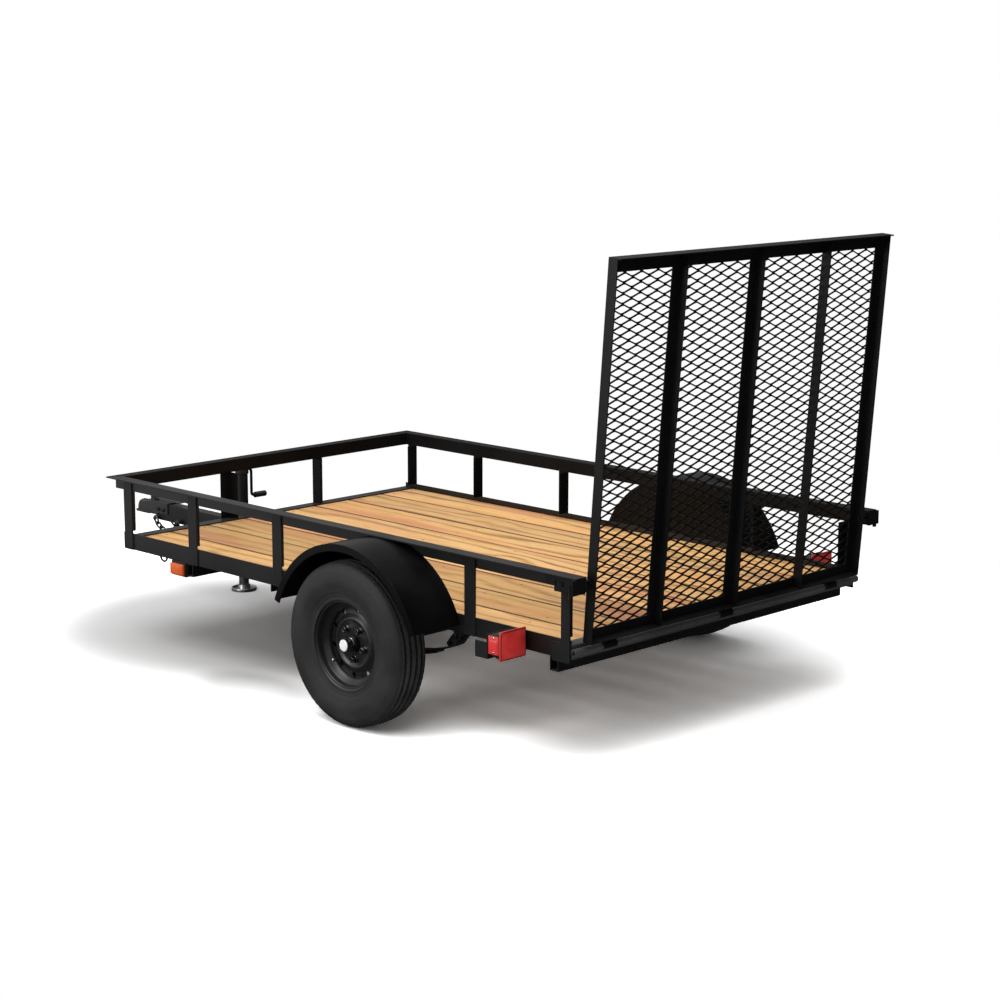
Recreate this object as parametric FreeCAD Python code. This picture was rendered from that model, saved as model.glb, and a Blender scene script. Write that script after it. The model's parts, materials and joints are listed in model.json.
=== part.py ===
import FreeCAD, Part
import math
import os

V = FreeCAD.Vector

# Sizes in mm. The trailer is built with its axle at X = 0: X runs forward to the coupler, Y to the
# left and Z up from the ground. export() then moves it all so that X = 0 is the middle of its length.
# A size called inset, gap, reach, rise or drop is counted from the piece beside it.

# Bed: a floor of 5 ft by 8 ft inside steel angle; its front and rear are counted from the axle
bed_inside_width = 1524.0
bed_front_x = 1552.0
bed_rear_reach = 886.0
frame_rise = 78.0
side_angle_height = 65.0
side_angle_foot = 51.0
angle_wall = 5.0
board_count = 8
board_thickness = 38.0
board_gap = 6.0
board_end_gap = 1.0

# Angles under the boards, and the two tubes under the side angles
floor_angle = 51.0
floor_angle_count = 4
floor_angle_front_inset = 852.0
floor_angle_rear_inset = 356.0
beam_width = 38.0
beam_height = 50.0
beam_wall = 4.0
front_beam_inset = 444.0
rear_beam_inset = 54.0

# Top rail and posts
rail_angle = 51.0
rail_rise = 223.0
rail_overhang = 64.0
post_width = 51.0
rear_post_width = 39.0
corner_post_inset = 12.0
second_post_inset = 427.0
third_post_inset = 934.0
fourth_post_inset = 488.0
front_post_y = 224.0
corner_plate_length = 78.0
corner_plate_drop = 12.0

# Axle
axle_tube = 51.0
axle_wall = 6.0
axle_neck = 46.0
spindle_diameter = 34.0
spindle_reach = 24.0
spindle_end_gap = 1.0

# Leaf springs under the axle
spring_inset = 29.0
spring_width = 45.0
leaf_thickness = 7.0
leaf_count = 3
spring_half_length = 330.0
spring_flat = 50.0
spring_rise = 60.0
spring_seat = 8.0
spring_seat_inset = 4.0
eye_bore = 14.0
hanger_wall = 5.0
hanger_reach = 18.0
hanger_heel = 2.0
shackle_wall = 6.0
shackle_bolt_x = 27.0
shackle_bolt_drop = 15.0
clamp_plate = 8.0
clamp_rod = 10.0
clamp_spacing = 64.0

# Wheels
tyre_gap = 62.0
tyre_diameter = 588.0
tyre_width = 154.0
tyre_crown_width = 92.0
tyre_shoulder_width = 128.0
tyre_shoulder_drop = 14.0
tyre_bulge_rise = 40.0
tyre_bulge_drop = 48.0
rim_diameter = 305.0
rim_width = 102.0
rim_wall = 4.0
rim_flange_height = 16.0
rim_flange_width = 8.0
rim_well = 24.0
rim_well_y = 14.0
rim_seat_width = 21.0
disc_wall = 5.0
disc_back = 8.0
disc_crown_radius = 86.0
disc_crown = 9.0
disc_flat_rim = 3.0
vent_circle = 234.0
vent_count = 10
vent_diameter = 20.0
vent_sides = 16
vent_phase = 23.0
lug_circle = 114.3
lug_count = 5
lug_phase = 51.0
stud_diameter = 12.0
nut_size = 21.0
nut_height = 16.0
nut_rim = 1.0
hub_barrel = 62.0
hub_flange_diameter = 146.0
hub_flange_wall = 10.0
hub_inner_reach = 45.0
hub_nose = 22.0
cap_diameter = 50.0
cap_length = 34.0
cap_bevel = 7.0

# Fenders
fender_gap = 92.0
fender_centre_x = -11.0
fender_drop = 26.0
fender_cover = 1.0
fender_wall = 2.5
fender_lip = 26.0
fender_start = 20.0
fender_end = 160.0

# Tongue, coupler and chains
tongue_width = 51.0
tongue_height = 76.0
tongue_wall = 5.0
tongue_drop = 27.0
tongue_reach = 794.0
ball_diameter = 50.8
ball_clearance = 0.6
ball_reach = 115.0
ball_drop = 32.0
socket_depth = 23.0
coupler_grip = 91.0
coupler_depth = 45.0
coupler_flat = 26.0
coupler_neck_reach = 31.0
coupler_neck_rise = 25.0
coupler_throat = 126.0
coupler_throat_slope = 15.0
coupler_wall = 5.0
coupler_lip = 9.0
coupler_lip_reach = 83.0
coupler_web_reach = 36.0
coupler_cavity_rise = 15.0
latch_tail = 65.0
latch_pivot_reach = 73.0
latch_ear_rear = 18.0
latch_ear_front = 12.0
latch_ear_rise = 16.0
latch_lever_rise = 6.0
latch_lever_front = 8.0
latch_grip = 30.0
latch_bolt = 8.0
latch_bolt_reach = 3.0
latch_width = 24.0
latch_wall = 4.0
chain_wire = 8.0
chain_inside = 30.0
chain_inside_width = 12.0
chain_corner = 5.0
chain_slack = 0.7
chain_links = 7
chain_bend = 90.0
chain_setback = 96.0
chain_pin_rise = 12.0
chain_pin = 10.0
chain_pin_head = 20.0
chain_side_gap = 1.0

# Jack beside the tongue
jack_reach = 328.0
jack_offset = 70.5
jack_tube = 51.0
jack_tube_wall = 4.0
jack_tube_drop = 117.0
jack_tube_rise = 213.0
jack_leg_rise = 33.0
jack_foot_diameter = 110.0
jack_foot_plate = 6.0
jack_foot_edge = 14.0
jack_socket_height = 26.0
jack_socket_wall = 6.0
bracket_plate = 6.0
bracket_length = 90.0
pivot_tube = 34.0
pivot_sleeve = 46.0
pivot_gap = 1.0
crank_head_height = 34.0
crank_head_rim = 4.0
crank_dome_height = 14.0
crank_dome_diameter = 34.0
crank_shaft_rise = 16.0
crank_shaft_reach = 26.0
crank_arm = 120.0
crank_rod = 12.0
crank_grip = 80.0
crank_grip_gap = 14.0
crank_grip_diameter = 26.0

# Ramp gate
gate_side_gap = 37.0
gate_lean = 4.33
gate_bottom = 30.0
gate_height = 1258.0
gate_angle = 38.0
gate_top_flange = 51.0
gate_wall = 4.0
upright_inset = 308.0
hinge_rise = 26.0
hinge_pipe = 26.0
knuckle_relief = 1.0
hinge_pin = 13.0
hinge_pin_overhang = 8.0
knuckle_length = 70.0
knuckle_inset = 125.0
knuckle_gap = 1.0
diamond_long = 80.0
diamond_short = 33.0
strand_width = 5.0
strand_thickness = 2.0
strand_gap = 0.3
mesh_lap = 14.0

# Gate latches at the rail ends
latch_pin = 14.0
latch_pin_clearance = 6.0
latch_hole_clearance = 2.0
latch_pin_drop = 17.0
latch_pin_reach = 14.0
latch_box_length = 140.0
latch_box_height = 50.0
latch_box_width = 36.0
latch_plate = 5.0
latch_plate_overhang = 20.0
latch_slot_start = 50.0
latch_slot_length = 40.0
latch_slot_rise = 16.0
latch_slot_drop = 14.0
latch_step_length = 40.0
latch_step_height = 18.0
latch_handle_drop = 46.0

# Lamps and tie loops
tail_lamp_inset = 188.0
tail_lamp_depth = 64.0
tail_lamp_gap = 2.0
tail_lamp_width = 122.0
tail_lamp_drop = 84.0
tail_lamp_height = 100.0
tail_lamp_round = 10.0
lamp_bracket_wall = 4.0
lamp_bracket_wing = 58.0
lamp_bracket_wing_height = 56.0
marker_length = 90.0
marker_height = 56.0
marker_inset = 316.0
marker_base = 17.0
marker_lens = 16.0
marker_rim = 6.0
tie_rod = 8.0
tie_width = 50.0
tie_front_inset = 237.0
tie_side_inset = 17.0

# Fits, and the sides of small bars, bolts and rolled eyes, which are straight to save facets
running_fit = 0.05
bar_sides = 6
bolt_sides = 8
eye_sides = 12

# Worked out from the sizes above: bed and rail
axle_z = tyre_diameter / 2
bed_half = bed_inside_width / 2
frame_bottom_z = axle_z + frame_rise
frame_outer_y = bed_half + angle_wall
frame_top_z = frame_bottom_z + side_angle_height
bed_rear_x = -bed_rear_reach
floor_z = frame_bottom_z + angle_wall
deck_z = floor_z + board_thickness
lap_z = deck_z + angle_wall
foot_inner_y = frame_outer_y - side_angle_foot
floor_angle_first_x = bed_front_x - floor_angle_front_inset
floor_angle_last_x = bed_rear_x + floor_angle_rear_inset
floor_angle_pitch = (floor_angle_first_x - floor_angle_last_x) / (floor_angle_count - 1)
floor_angle_fronts = [floor_angle_first_x - i * floor_angle_pitch for i in range(floor_angle_count)]
front_beam_x = bed_front_x - front_beam_inset
rear_beam_x = bed_rear_x + rear_beam_inset
rail_top_z = frame_top_z + rail_rise
rail_under_z = rail_top_z - angle_wall
rail_leg_z = rail_top_z - rail_angle
rail_rear_x = bed_rear_x - rail_overhang
post_outer_y = frame_outer_y + angle_wall
side_post_fronts = [bed_front_x - corner_post_inset, bed_front_x - second_post_inset,
                    bed_front_x - third_post_inset, bed_rear_x + fourth_post_inset]

# Wheels, axle, springs and fenders
wheel_y = frame_outer_y + tyre_gap + tyre_width / 2
axle_tube_half = wheel_y - hub_inner_reach - axle_neck
spring_y = frame_outer_y - spring_inset
leaf_top_z = axle_z - axle_tube / 2 - spring_seat
leaf_base_z = leaf_top_z - leaf_thickness
pack_bottom_z = leaf_top_z - leaf_count * leaf_thickness
leaf_radius = ((spring_half_length - spring_flat) ** 2 + spring_rise ** 2) / (2 * spring_rise)
leaf_angle = math.asin((spring_half_length - spring_flat) / leaf_radius)
eye_radius = eye_bore / 2 + leaf_thickness
eye_x = spring_flat + (leaf_radius - eye_radius) * math.sin(leaf_angle)
eye_z = leaf_base_z + leaf_radius - (leaf_radius - eye_radius) * math.cos(leaf_angle)
shackle_z = frame_bottom_z - shackle_bolt_drop
rim_radius = rim_diameter / 2
rim_lip = rim_radius + rim_flange_height
disc_face_y = wheel_y + disc_back
nut_seat_y = disc_face_y + disc_wall
nut_corner = nut_size / math.sqrt(3)
nut_reach = lug_circle / 2 + nut_corner + nut_rim
hub_end_y = disc_face_y + hub_nose
fender_radius = tyre_diameter / 2 + fender_gap
fender_centre_z = axle_z - fender_drop
fender_outer_y = wheel_y + tyre_width / 2 + fender_cover

# Tongue, coupler, chains and jack
tongue_half = tongue_width / 2
tongue_top_z = frame_bottom_z - tongue_drop
tongue_bottom_z = tongue_top_z - tongue_height
tongue_front_x = bed_front_x + tongue_reach
socket_radius = ball_diameter / 2 + ball_clearance
coupler_radius = socket_radius + coupler_wall
coupler_top_z = tongue_top_z + coupler_wall
coupler_skirt_z = tongue_top_z - coupler_depth
coupler_rear_x = tongue_front_x - coupler_grip
ball_x = tongue_front_x + ball_reach
ball_z = tongue_top_z - ball_drop
coupler_nose_z = ball_z - socket_depth
coupler_neck_z = ball_z + coupler_neck_rise
nose_x = ball_x + coupler_radius + coupler_lip
latch_rear_x = coupler_rear_x - latch_tail
latch_pivot_x = ball_x - latch_pivot_reach
chain_middle_x = tongue_front_x - chain_setback
chain_end_z = tongue_bottom_z + chain_pin_rise
chain_y = tongue_half + chain_inside_width / 2 + chain_wire + chain_side_gap
jack_x = bed_front_x + jack_reach
jack_y = -tongue_half - jack_offset
jack_pivot_z = tongue_top_z - tongue_height / 2
jack_tube_bottom_z = jack_pivot_z - jack_tube_drop
jack_tube_top_z = jack_pivot_z + jack_tube_rise
jack_leg_top_z = jack_pivot_z + jack_leg_rise
jack_bore = jack_tube - 2 * jack_tube_wall
jack_leg = jack_bore - 2 * running_fit

# Gate, latches and lamps
gate_half_width = bed_half - gate_side_gap
gate_top = gate_bottom + gate_height
gate_hinge_z = frame_bottom_z + hinge_rise
hinge_x = bed_rear_x - hinge_pipe / 2
upright_left_y = gate_half_width - upright_inset
knuckle_places = (knuckle_inset - gate_half_width, 0.0, gate_half_width - knuckle_inset)
gate_tip = gate_top_flange * math.cos(math.radians(gate_lean))
gate_rear_x = hinge_x - gate_top * math.sin(math.radians(gate_lean)) - gate_tip
latch_hole = latch_pin + latch_hole_clearance
latch_pin_z = rail_under_z - latch_pin_drop
latch_pin_x = hinge_x - (latch_pin_z - gate_hinge_z) * math.tan(math.radians(gate_lean)) - gate_angle / 2
tail_lamp_rear_x = bed_rear_x + tail_lamp_inset
tail_lamp_inner_y = post_outer_y + tail_lamp_gap
tail_lamp_bottom_z = frame_top_z - tail_lamp_drop
marker_front_x = bed_front_x - marker_inset
tie_x = bed_front_x - tie_front_inset
tie_y = frame_outer_y - tie_side_inset
middle_x = (nose_x + gate_rear_x) / 2


def box(x0, x1, y0, y1, z0, z1):
    """Block between two corners, given in any order."""
    corner = V(min(x0, x1), min(y0, y1), min(z0, z1))
    return Part.makeBox(abs(x1 - x0), abs(y1 - y0), abs(z1 - z0), corner)


def rod(start, end, diameter):
    """Round bar from one point to another."""
    a, b = V(*start), V(*end)
    return Part.makeCylinder(diameter / 2, (b - a).Length, a, b - a)


def rod_y(x, z, y0, y1, diameter):
    """Round bar along Y."""
    return rod((x, min(y0, y1), z), (x, max(y0, y1), z), diameter)


def rod_z(x, y, z0, z1, diameter):
    """Round bar along Z."""
    return rod((x, y, min(z0, z1)), (x, y, max(z0, z1)), diameter)


def corners(diameter, sides):
    """Corners of a straight-sided section, as (a, b) on a circle."""
    turns = [2 * math.pi * k / sides for k in range(sides)]
    return [(diameter / 2 * math.cos(t), diameter / 2 * math.sin(t)) for t in turns]


def bar_y(x, z, y0, y1, diameter, sides):
    """Straight-sided bar along Y, whose corners lie on a circle."""
    low = min(y0, y1)
    return face([(x + a, low, z + b) for a, b in corners(diameter, sides)]).extrude(V(0, abs(y1 - y0), 0))


def bar_z(x, y, z0, z1, diameter, sides):
    """Straight-sided bar along Z, whose corners lie on a circle."""
    low = min(z0, z1)
    return face([(x + a, y + b, low) for a, b in corners(diameter, sides)]).extrude(V(0, 0, abs(z1 - z0)))


def bent_bar(points, normal, diameter, closed=False):
    """Six-sided bar along a flat path, mitred at each bend; a closed path makes a ring."""
    path = [V(*p) for p in points]
    normal = V(*normal)
    ahead = [(path[(i + 1) % len(path)] - path[i]).normalize() for i in range(len(path))]
    if not closed:
        ahead[-1] = ahead[-2]
    rings = []
    for i, point in enumerate(path):
        before = ahead[i - 1] if i or closed else ahead[0]
        middle = (before + ahead[i]).normalize()
        across = middle.cross(normal) * (1 / middle.dot(ahead[i]))
        rings.append([point + across * a + normal * b for a, b in corners(diameter, bar_sides)])
    sides = []
    for i in range(len(rings) if closed else len(rings) - 1):
        start, end = rings[i], rings[(i + 1) % len(rings)]
        for k in range(bar_sides):
            j = (k + 1) % bar_sides
            sides.append(face([start[k], start[j], end[j], end[k]]))
    if not closed:
        sides += [face(rings[0]), face(rings[-1])]
    solid = Part.Solid(Part.Shell(sides))
    if solid.Volume < 0:
        solid.reverse()
    return solid

def fuse(*shapes):
    """One solid from shapes that touch or overlap."""
    return shapes[0].multiFuse(list(shapes[1:])).removeSplitter()


def mirror_y(shape):
    """The same shape on the other side of the trailer."""
    return shape.mirror(V(0, 0, 0), V(0, 1, 0))


def both_sides(shapes):
    """Left-hand shapes with their right-hand twins."""
    return shapes + [mirror_y(s) for s in shapes]


def face(points):
    """Flat face inside straight edges."""
    corners = [V(*p) for p in points]
    return Part.Face(Part.makePolygon(corners + corners[:1]))


def turned_y(profile):
    """Solid turned about the Y axis from (radius, y) points."""
    return face([(0, y, r) for r, y in profile]).revolve(V(0, 0, 0), V(0, 1, 0), 360)


def turned_z(profile):
    """Solid turned about the Z axis from (radius, z) points."""
    return face([(r, 0, z) for r, z in profile]).revolve(V(0, 0, 0), V(0, 0, 1), 360)


def moved(shape, x, y, z):
    """A shape shifted to its place."""
    shape = shape.copy()
    shape.translate(V(x, y, z))
    return shape


def square_tube(x0, x1, y0, y1, z0, z1, wall, along):
    """Rectangular tube with its bore along X or Y."""
    outer = box(x0, x1, y0, y1, z0, z1)
    if along == "x":
        return outer.cut(box(x0, x1, y0 + wall, y1 - wall, z0 + wall, z1 - wall))
    return outer.cut(box(x0 + wall, x1 - wall, y0, y1, z0 + wall, z1 - wall))


# Bed frame

def side_angle():
    """Left side angle: a tall outer leg, and a foot that carries the ends of the floor angles."""
    leg = box(bed_rear_x, bed_front_x, bed_half, frame_outer_y, frame_bottom_z, frame_top_z)
    foot = box(bed_rear_x + angle_wall, bed_front_x - angle_wall, foot_inner_y, bed_half,
               frame_bottom_z, floor_z)
    return fuse(leg, foot)


def end_angle(outer_x, inward):
    """Angle across one end of the bed, whose top leg laps over the ends of the boards."""
    web = box(outer_x, outer_x + inward * angle_wall, -bed_half, bed_half, frame_bottom_z, lap_z)
    lap = box(outer_x, outer_x + inward * floor_angle, -bed_half, bed_half, deck_z, lap_z)
    return fuse(web, lap)


def floor_angles():
    """Angles under the boards, between the feet of the side angles."""
    out = []
    for x in floor_angle_fronts:
        flat = box(x - floor_angle, x, -foot_inner_y, foot_inner_y, frame_bottom_z, floor_z)
        web = box(x - angle_wall, x, -foot_inner_y, foot_inner_y, floor_z - floor_angle, floor_z)
        out.append(fuse(flat, web))
    return out


def under_beams():
    """Tubes hung under the side angles; the front one stops at each side of the tongue."""
    z0, z1 = frame_bottom_z - beam_height, frame_bottom_z
    front = square_tube(front_beam_x, front_beam_x + beam_width, tongue_half, frame_outer_y, z0, z1,
                        beam_wall, "y")
    rear = square_tube(rear_beam_x, rear_beam_x + beam_width, -frame_outer_y, frame_outer_y, z0, z1,
                       beam_wall, "y")
    return both_sides([front]) + [rear]


def deck_boards():
    """Planks that run the length of the bed."""
    span = bed_inside_width - 2 * board_end_gap
    width = (span - (board_count - 1) * board_gap) / board_count
    x0, x1 = bed_rear_x + angle_wall + board_end_gap, bed_front_x - angle_wall - board_end_gap
    starts = [-span / 2 + i * (width + board_gap) for i in range(board_count)]
    return [box(x0, x1, y, y + width, floor_z, deck_z) for y in starts]


# Top rail and posts

def side_rail():
    """Left top rail: its flat leg is mitred at the front corner, the upright leg runs past it."""
    front, outer_y = bed_front_x - angle_wall, bed_half + rail_angle
    outline = [(rail_rear_x, bed_half, rail_under_z), (front, bed_half, rail_under_z),
               (front + rail_angle, outer_y, rail_under_z), (rail_rear_x, outer_y, rail_under_z)]
    flat = face(outline).extrude(V(0, 0, angle_wall))
    leg = box(rail_rear_x, front + rail_angle, bed_half, frame_outer_y, rail_leg_z, rail_under_z)
    hole = bar_y(latch_pin_x, latch_pin_z, bed_half, frame_outer_y, latch_hole, bolt_sides)
    return fuse(flat, leg).cut(hole)


def front_rail():
    """Front top rail, mitred into both side rails."""
    front = bed_front_x - angle_wall

    reach, outer_y = front + rail_angle, bed_half + rail_angle
    outline = [(front, -bed_half, rail_under_z), (front, bed_half, rail_under_z),
               (reach, outer_y, rail_under_z), (reach, -outer_y, rail_under_z)]
    flat = face(outline).extrude(V(0, 0, angle_wall))
    leg = box(front, front + angle_wall, -bed_half, bed_half, rail_leg_z, rail_under_z)
    return fuse(flat, leg)


def side_post(front_x, width, deep_x):
    """Left post: a broad outer leg, and a leg with its front at deep_x that reaches inboard."""
    broad = box(front_x - width, front_x, frame_outer_y, post_outer_y, frame_bottom_z, rail_under_z)
    deep = box(deep_x - angle_wall, deep_x, post_outer_y - post_width, post_outer_y, frame_top_z, rail_leg_z)
    return fuse(broad, deep)


def side_posts(deep_shift):
    """Posts of the left side, their deep legs moved back by a shift; the rearmost has a corner plate."""
    plate = box(bed_rear_x, bed_rear_x + corner_plate_length, frame_outer_y, post_outer_y,
                frame_bottom_z - corner_plate_drop, frame_top_z - corner_plate_drop)
    rear_x = bed_rear_x + rear_post_width
    posts = [side_post(x, post_width, x - deep_shift) for x in side_post_fronts]
    return posts + [fuse(side_post(rear_x, rear_post_width, rear_x), plate)]


def front_post():
    """Post on the front face, left of the tongue, with a leg that reaches back into the bed."""
    x0, x1 = bed_front_x, bed_front_x + angle_wall
    y = front_post_y
    broad = box(x0, x1, y, y + post_width, frame_bottom_z, rail_under_z)
    deep = box(x1 - post_width, x1, y, y + angle_wall, lap_z, rail_leg_z)
    return fuse(broad, deep)


# Axle and springs

def axle():
    """Square tube across the trailer, closed by a round spindle at each end."""
    half = axle_tube / 2
    tube = square_tube(-half, half, -axle_tube_half, axle_tube_half, axle_z - half, axle_z + half,
                       axle_wall, "y")
    plug = axle_tube - 2 * axle_wall
    parts = [tube]
    for side in (1, -1):
        root = side * axle_tube_half
        parts.append(box(-plug / 2, plug / 2, root - side * plug, root, axle_z - plug / 2, axle_z + plug / 2))
        parts.append(rod_y(0, axle_z, root - side * plug, side * (wheel_y + spindle_reach), spindle_diameter))
    return fuse(*parts)


def half_leaf(inner_radius, outer_radius, angle):
    """Front half of one leaf: flat at the axle, then an arc about the centre that all leaves share."""
    centre = leaf_base_z + leaf_radius
    y = spring_y - spring_width / 2

    def at(radius, turn):
        return V(spring_flat + radius * math.sin(turn), y, centre - radius * math.cos(turn))

    def arc(radius):
        return Part.Arc(at(radius, 0), at(radius, angle / 2), at(radius, angle)).toShape()

    low, high = V(0, y, centre - outer_radius), V(0, y, centre - inner_radius)
    edges = [Part.makeLine(low, at(outer_radius, 0)), arc(outer_radius),
             Part.makeLine(at(outer_radius, angle), at(inner_radius, angle)), arc(inner_radius),
             Part.makeLine(at(inner_radius, 0), high), Part.makeLine(high, low)]
    return Part.Face(Part.Wire(Part.__sortEdges__(edges))).extrude(V(0, spring_width, 0))


def leaf_spring():
    """Left spring: a main leaf with rolled eyes, over shorter leaves that nest under it."""
    halves = []
    for i in range(leaf_count):
        inner = leaf_radius + (i - 1) * leaf_thickness
        halves.append(half_leaf(inner, inner + leaf_thickness, leaf_angle * (1 - i / leaf_count)))
    y0, y1 = spring_y - spring_width / 2, spring_y + spring_width / 2
    halves.append(bar_y(eye_x, eye_z, y0, y1, 2 * eye_radius, eye_sides))
    front = fuse(*halves).cut(bar_y(eye_x, eye_z, y0, y1, eye_bore, bolt_sides))
    return fuse(front, front.mirror(V(0, 0, 0), V(1, 0, 0)))


def hanger_ears(x, z, bottom_z, inner_half):
    """Pair of ears under the side angle, joined by a top plate, with a bolt hole at (x, z)."""
    w, top = hanger_reach, frame_bottom_z
    parts = [box(x - w, x + w, spring_y - inner_half - hanger_wall, spring_y + inner_half + hanger_wall,
                 top - hanger_wall, top)]
    outline = [(x - w, top), (x + w, top), (x + w, z), (x + w / 2, bottom_z), (x - w / 2, bottom_z), (x - w, z)]
    for y in (spring_y - inner_half - hanger_wall, spring_y + inner_half):
        parts.append(face([(a, y, b) for a, b in outline]).extrude(V(0, hanger_wall, 0)))
    hole = bar_y(x, z, spring_y - spring_width, spring_y + spring_width, eye_bore, bolt_sides)
    return fuse(*parts).cut(hole)


def spring_hangers():
    """Front and rear hangers of the left spring."""
    half = spring_width / 2
    front = hanger_ears(eye_x, eye_z, eye_z - eye_radius - hanger_heel, half)
    rear = hanger_ears(-eye_x - shackle_bolt_x, shackle_z, shackle_z - eye_radius, half - hanger_wall)
    return [front, rear]


def spring_shackles():
    """Rear links of the left spring, and the bolts through its eyes and hangers."""
    half = spring_width / 2
    top = (-eye_x - shackle_bolt_x, shackle_z)
    low = (-eye_x, eye_z)
    run = math.hypot(top[0] - low[0], top[1] - low[1])
    turn = math.degrees(math.atan2(top[1] - low[1], top[0] - low[0]))
    parts = []
    for side in (1, -1):
        y0, y1 = sorted((spring_y + side * half, spring_y + side * (half + shackle_wall)))
        bar = box(0, run, y0, y1, -eye_radius, eye_radius)
        bar.rotate(V(0, 0, 0), V(0, 1, 0), -turn)
        ends = [bar_y(x, z, y0, y1, 2 * eye_radius, eye_sides) for x, z in (top, low)]
        parts.append(fuse(moved(bar, low[0], 0, low[1]), *ends))
    reach = half + shackle_wall
    pins = [bar_y(x, z, spring_y - reach, spring_y + reach, eye_bore, bolt_sides) for x, z in (top, low)]
    front_reach = half + hanger_wall
    bolt = bar_y(eye_x, eye_z, spring_y - front_reach, spring_y + front_reach, eye_bore, bolt_sides)
    return [fuse(*parts, *pins), bolt]


def spring_clamp():
    """Left clamp: seat on the axle, plate under the leaves and two square U-bolts over the tube."""
    y0, y1 = spring_y - spring_width / 2, spring_y + spring_width / 2
    flat = spring_flat - spring_seat_inset
    seat = box(-flat, flat, y0, y1, leaf_top_z, leaf_top_z + spring_seat)
    reach = axle_tube / 2 + clamp_rod / 2
    plate_y = clamp_spacing / 2 + clamp_rod
    parts = [box(-reach - clamp_rod, reach + clamp_rod, spring_y - plate_y, spring_y + plate_y,
                 pack_bottom_z - clamp_plate, pack_bottom_z)]
    top_z = axle_z + axle_tube / 2 + clamp_rod / 2
    nut_top_z = pack_bottom_z - clamp_plate
    low_z = nut_top_z - clamp_plate - clamp_rod
    for y in (spring_y - clamp_spacing / 2, spring_y + clamp_spacing / 2):
        path = [(-reach, y, low_z), (-reach, y, top_z), (reach, y, top_z), (reach, y, low_z)]
        parts.append(bent_bar(path, (0, 1, 0), clamp_rod))
        parts += [bar_z(x, y, nut_top_z - clamp_plate, nut_top_z, 2 * clamp_rod, bar_sides)
                  for x in (-reach, reach)]
    return [seat, fuse(*parts)]


# Wheels

def tyre():
    """Left tyre: tread, shoulders and bulging sidewalls down to the beads between the rim flanges."""
    r, seat = tyre_diameter / 2, rim_width / 2
    half = [(rim_radius, seat), (rim_lip, seat), (rim_lip + tyre_bulge_rise, tyre_width / 2),
            (r - tyre_bulge_drop, tyre_width / 2), (r - tyre_shoulder_drop, tyre_shoulder_width / 2),
            (r, tyre_crown_width / 2)]
    ring = turned_y(half + [(radius, -y) for radius, y in reversed(half)])
    return moved(ring, 0, wheel_y, axle_z)


def around(count, circle, phase):
    """Points of a hole circle in the XZ plane, as (x, z) about its centre."""
    turns = [math.radians(phase + 360.0 * i / count) for i in range(count)]
    return [(circle / 2 * math.cos(t), circle / 2 * math.sin(t)) for t in turns]


def rim():
    """Left rim: flanges, a drop centre that slopes up to the inner bead, and a crowned disc with vents."""
    r, half, t = rim_radius, rim_width / 2, rim_wall
    out, well = half + rim_flange_width, r - rim_well
    shell = [(rim_lip, half), (r, half), (r, half - rim_seat_width), (well, rim_well_y), (r, -half),
             (rim_lip, -half), (r - t, -out), (well - t, rim_well_y), (r - t, out)]
    b, k, w, c = disc_back, disc_back + disc_crown, disc_wall, disc_crown_radius
    edge = well + t / 2
    ring = (vent_circle - vent_diameter) / 2 - disc_flat_rim
    disc = [(hub_barrel / 2, b), (nut_reach + disc_flat_rim, b), (c, k), (ring, 0), (edge, 0), (edge, w),
            (ring, w), (c, k + w), (nut_reach, b + w), (hub_barrel / 2, b + w)]
    wheel = fuse(turned_y(shell), turned_y(disc))
    vents = around(vent_count, vent_circle, vent_phase)
    studs = around(lug_count, lug_circle, lug_phase)
    holes = [bar_y(x, z, -half, half, vent_diameter, vent_sides) for x, z in vents]
    holes += [bar_y(x, z, -half, half, stud_diameter, bolt_sides) for x, z in studs]
    return moved(wheel.cut(Part.makeCompound(holes)), 0, wheel_y, axle_z)


def hub():
    """Left hub: a flange behind the disc, and a barrel that runs on the spindle."""
    flange = bar_y(0, axle_z, disc_face_y - hub_flange_wall, disc_face_y, hub_flange_diameter, vent_sides)
    barrel = rod_y(0, axle_z, wheel_y - hub_inner_reach, hub_end_y, hub_barrel)
    bore = rod_y(0, axle_z, wheel_y - hub_inner_reach, wheel_y + spindle_reach + spindle_end_gap,
                 spindle_diameter + 2 * running_fit)
    return fuse(flange, barrel).cut(bore)


def lug_nuts():
    """Left lug nuts, each on its stud."""
    out = []
    for x, z in around(lug_count, lug_circle, lug_phase):
        stud = bar_y(x, axle_z + z, disc_face_y, nut_seat_y, stud_diameter, bolt_sides)
        nut = bar_y(x, axle_z + z, nut_seat_y, nut_seat_y + nut_height, 2 * nut_corner, bar_sides)
        out.append(fuse(stud, nut))
    return out


def dust_cap():
    """Left dust cap: a pressed cup that closes the end of the hub."""
    end_y = hub_end_y + cap_length
    cup = bar_y(0, axle_z, hub_end_y, end_y, cap_diameter, vent_sides)
    return cup.makeChamfer(cap_bevel, [e for e in cup.Edges if e.BoundBox.YMin > end_y - 1])


# Fender

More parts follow.
